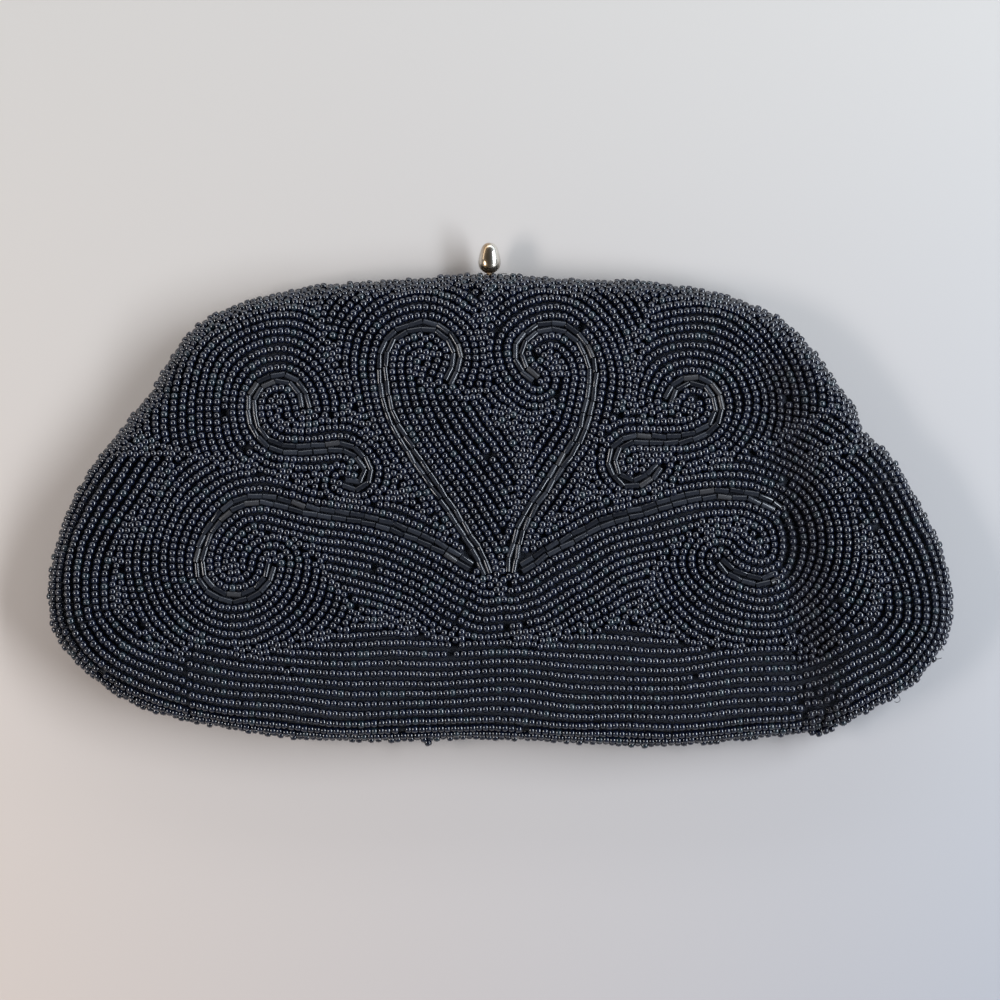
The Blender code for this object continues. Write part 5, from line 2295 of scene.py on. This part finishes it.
@dataclass
class Metalwork:
    """The frame, the rivets, the clasp and its knob."""

    shape: BagShape
    steel: bpy.types.Material
    nickel: bpy.types.Material
    knob_sides: int = 64
    knob_steps: int = 60
    sharp_angle: float = math.radians(60)
    steel_nodes: tuple = ("front_frame", "rear_frame", "hinge_rivet_left", "hinge_rivet_right",
                          "clasp_bracket", "clasp_pin")

    def knob(self) -> None:
        """Turn the egg-shaped knob."""
        low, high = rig.box("clasp_knob")
        centre_x, centre_z = (low.x + high.x) / 2, (low.z + high.z) / 2
        radius, tall = (high.x - low.x) / 2, high.y - low.y
        knots = np.array(KNOB_SHARES) * (tall, radius)
        profile = spread_evenly(smooth_curve(knots, False, 8), self.knob_steps)
        turns = [2 * math.pi * k / self.knob_sides for k in range(self.knob_sides)]
        bm = bmesh.new()
        rings = [[bm.verts.new((centre_x + out * math.cos(turn), low.y + along,
                                centre_z + out * math.sin(turn))) for turn in turns]
                 for along, out in profile[:-1]]
        add_quads(bm, [[*ring, ring[0]] for ring in rings])
        tip = bm.verts.new((centre_x, high.y, centre_z))
        for k in range(self.knob_sides):
            bm.faces.new((rings[-1][k], rings[-1][(k + 1) % self.knob_sides], tip))
        bm.faces.new(rings[0])
        bmesh.ops.recalc_face_normals(bm, faces=bm.faces)
        piece = to_skin(bm, "knob", self.nickel)
        piece.data.set_sharp_from_angle(angle=self.sharp_angle)
        hand_over(piece, self.shape, CLASP, "nickel", ("clasp_knob",))

    def build(self) -> None:
        """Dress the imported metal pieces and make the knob."""
        for name in self.steel_nodes:
            self.dress(name, self.steel)
        self.dress("clasp_lever", self.nickel)
        self.knob()

    @staticmethod
    def dress(name: str, finish: bpy.types.Material) -> None:
        """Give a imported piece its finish.

        Args:
            name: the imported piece.
            finish: its material.
        """
        node = frame["nodes"][name]
        node.data.materials.clear()
        node.data.materials.append(finish)
        log.info("%s: dressed in %s", name, finish.name)


@dataclass(frozen=True)
class Lamp:
    """A soft lamp that faces the bag."""

    name: str
    azimuth: float
    elevation: float
    wide: float
    tall: float
    radiance: float
    colour: Colour
    distance: float = 0.9

    def make(self) -> None:
        """Hang the lamp."""
        light = bpy.data.lights.new(self.name, "AREA")
        light.shape = "RECTANGLE"
        light.size, light.size_y = self.wide, self.tall
        light.energy = self.radiance * math.pi * self.wide * self.tall
        light.color = self.colour
        lamp = add_object(self.name, light)
        turn, rise = math.radians(self.azimuth), math.radians(self.elevation)
        way = Vector((math.cos(turn) * math.cos(rise), math.sin(turn) * math.cos(rise),
                      math.sin(rise)))
        lamp.location = way * self.distance
        lamp.rotation_euler = way.to_track_quat("Z", "Y").to_euler()


@dataclass
class Studio:
    """The table, the lamps and the camera."""

    table: bpy.types.Material
    table_half: float = 1.6
    table_top: float = -0.00037
    view_width: float = 0.2550
    lens: float = 120.0
    sensor: float = 36.0
    centre_x: float = -0.00013
    centre_y: float = -0.00153
    room_levels: tuple = ((0.0, 0.38), (0.50, 0.29), (0.72, 0.12), (1.0, 0.09))
    room_colour: Colour = (0.90, 0.95, 1.0)
    # Each lamp's name, azimuth, elevation, width, height, radiance and colour
    lamps: tuple[Lamp, ...] = (
        Lamp("right_window", 4.0, 40.0, 1.10, 0.175, 20.5, (0.84, 0.92, 1.0)),
        Lamp("left_window", 188.0, 40.0, 0.42, 0.18, 17.5, (0.97, 0.94, 0.92)),
        Lamp("far_strip", 90.0, 24.0, 1.00, 0.14, 3.4, (0.88, 0.94, 1.0)),
        Lamp("far_wall_left", 140.0, 15.0, 0.60, 0.22, 1.4, (1.0, 0.93, 0.84)),
        Lamp("far_wall", 90.0, 15.0, 0.80, 0.22, 1.5, (0.92, 0.96, 1.0)),
        Lamp("far_wall_right", 40.0, 15.0, 0.60, 0.22, 1.4, (0.85, 0.94, 1.0)),
    )

    def room(self) -> bpy.types.World:
        """Make a room whose ceiling is dim and whose walls are lighter.

        Returns:
            The world.
        """
        world = bpy.data.worlds.new("room")
        world.use_nodes = True
        book = NodeBook(world.node_tree)
        _, _, rise = book.axes(book.wire("ShaderNodeTexCoord", output="Generated"))
        level = book.wire("ShaderNodeValToRGB", {"stops": self.room_levels}, {"Fac": rise})
        back = world.node_tree.nodes["Background"].inputs
        back["Color"].default_value = (*self.room_colour, 1.0)
        book.feed(back["Strength"], level)
        return world

    def build(self, shape: BagShape) -> None:
        """Set everything round the bag.

        Args:
            shape: the bag's shape.
        """
        half, top = self.table_half, self.table_top
        mesh = bpy.data.meshes.new("table")
        mesh.from_pydata([(-half, -half, top), (half, -half, top), (half, half, top),
                          (-half, half, top)], [], [(0, 1, 2, 3)])
        mesh.materials.append(self.table)
        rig.stage(add_object("table", mesh))
        for lamp in self.lamps:
            lamp.make()
        scene = bpy.context.scene
        scene.world = self.room()
        camera = bpy.data.cameras.new("camera")
        camera.lens, camera.sensor_width = self.lens, self.sensor
        eye = add_object("camera", camera)
        above = self.view_width * self.lens / self.sensor
        eye.location = (self.centre_x, self.centre_y, shape.z_seam + above)
        scene.camera = eye
        scene.view_settings.view_transform = "Standard"


def main() -> None:
    """Build the bag and the studio."""
    shape = BagShape()
    beads = BlackGlass("black_glass_seed_beads", (0.002, 0.003, 0.009), (0.005, 0.008, 0.022),
                       (0.009, 0.017, 0.026), roughness=0.04, bloom=0.03)
    bugles = BlackGlass("black_glass_bugle_beads", (0.006, 0.007, 0.011), (0.022, 0.025, 0.034),
                        (0.034, 0.034, 0.038), roughness=0.03, bloom=0.06, ior=1.58,
                        uneven=0.24)
    cloth = WovenCloth("black_ground_cloth", (0.007, 0.010, 0.019), (0.021, 0.026, 0.046))
    thread = WovenCloth("black_sewing_thread", (0.010, 0.010, 0.014), (0.035, 0.035, 0.045))
    satin = Satin("black_satin_lining", (0.005, 0.005, 0.006), (0.024, 0.023, 0.028))
    card = Card("buff_card", (0.32, 0.27, 0.20), (0.46, 0.41, 0.33))
    steel = PlatedMetal("plated_frame_steel", (0.50, 0.48, 0.44), (0.28, 0.24, 0.18),
                        roughness=0.30, lines=0.20, line_stretch=(0.2, 1.0, 1.0))
    knob_low, knob_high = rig.box("clasp_knob")
    wide, tall, _ = knob_high - knob_low
    nickel = PlatedMetal("polished_nickel", (0.80, 0.77, 0.71), (0.30, 0.24, 0.17),
                         roughness=0.10, lines=0.08, line_stretch=(1.0, 0.15, 1.0),
                         foot=(knob_low.y, tall),
                         brass_side=(knob_low.x + wide * WARM_REFLECTION_AT, wide * WARM_REFLECTION_HALF))
    # The table's pale colour, then its painted warm light and painted cool shade
    table = TableTop("pale_table", (0.542, 0.514, 0.486), (0.590, 0.490, 0.432),
                     (0.340, 0.346, 0.388))
    Beadwork(shape, beads.make()).build()
    Scrollwork(shape, bugles.make()).build()
    satin_cloth, black_thread = satin.make(), thread.make()
    LooseThreads(shape, black_thread).build()
    SoftLayers(shape, cloth.make(), card.make(), satin_cloth).build()
    SlipPocket(shape, satin_cloth, black_thread).build()
    Metalwork(shape, steel.make(), nickel.make()).build()
    Studio(table.make()).build(shape)
    pairs = {"cad": [list(corner) for corner in CAD_BOX],
             "visual": [list(corner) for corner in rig.bounds()]}
    with open("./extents.json", "w") as file:
        json.dump(pairs, file)


if __name__ == "__main__":
    main()
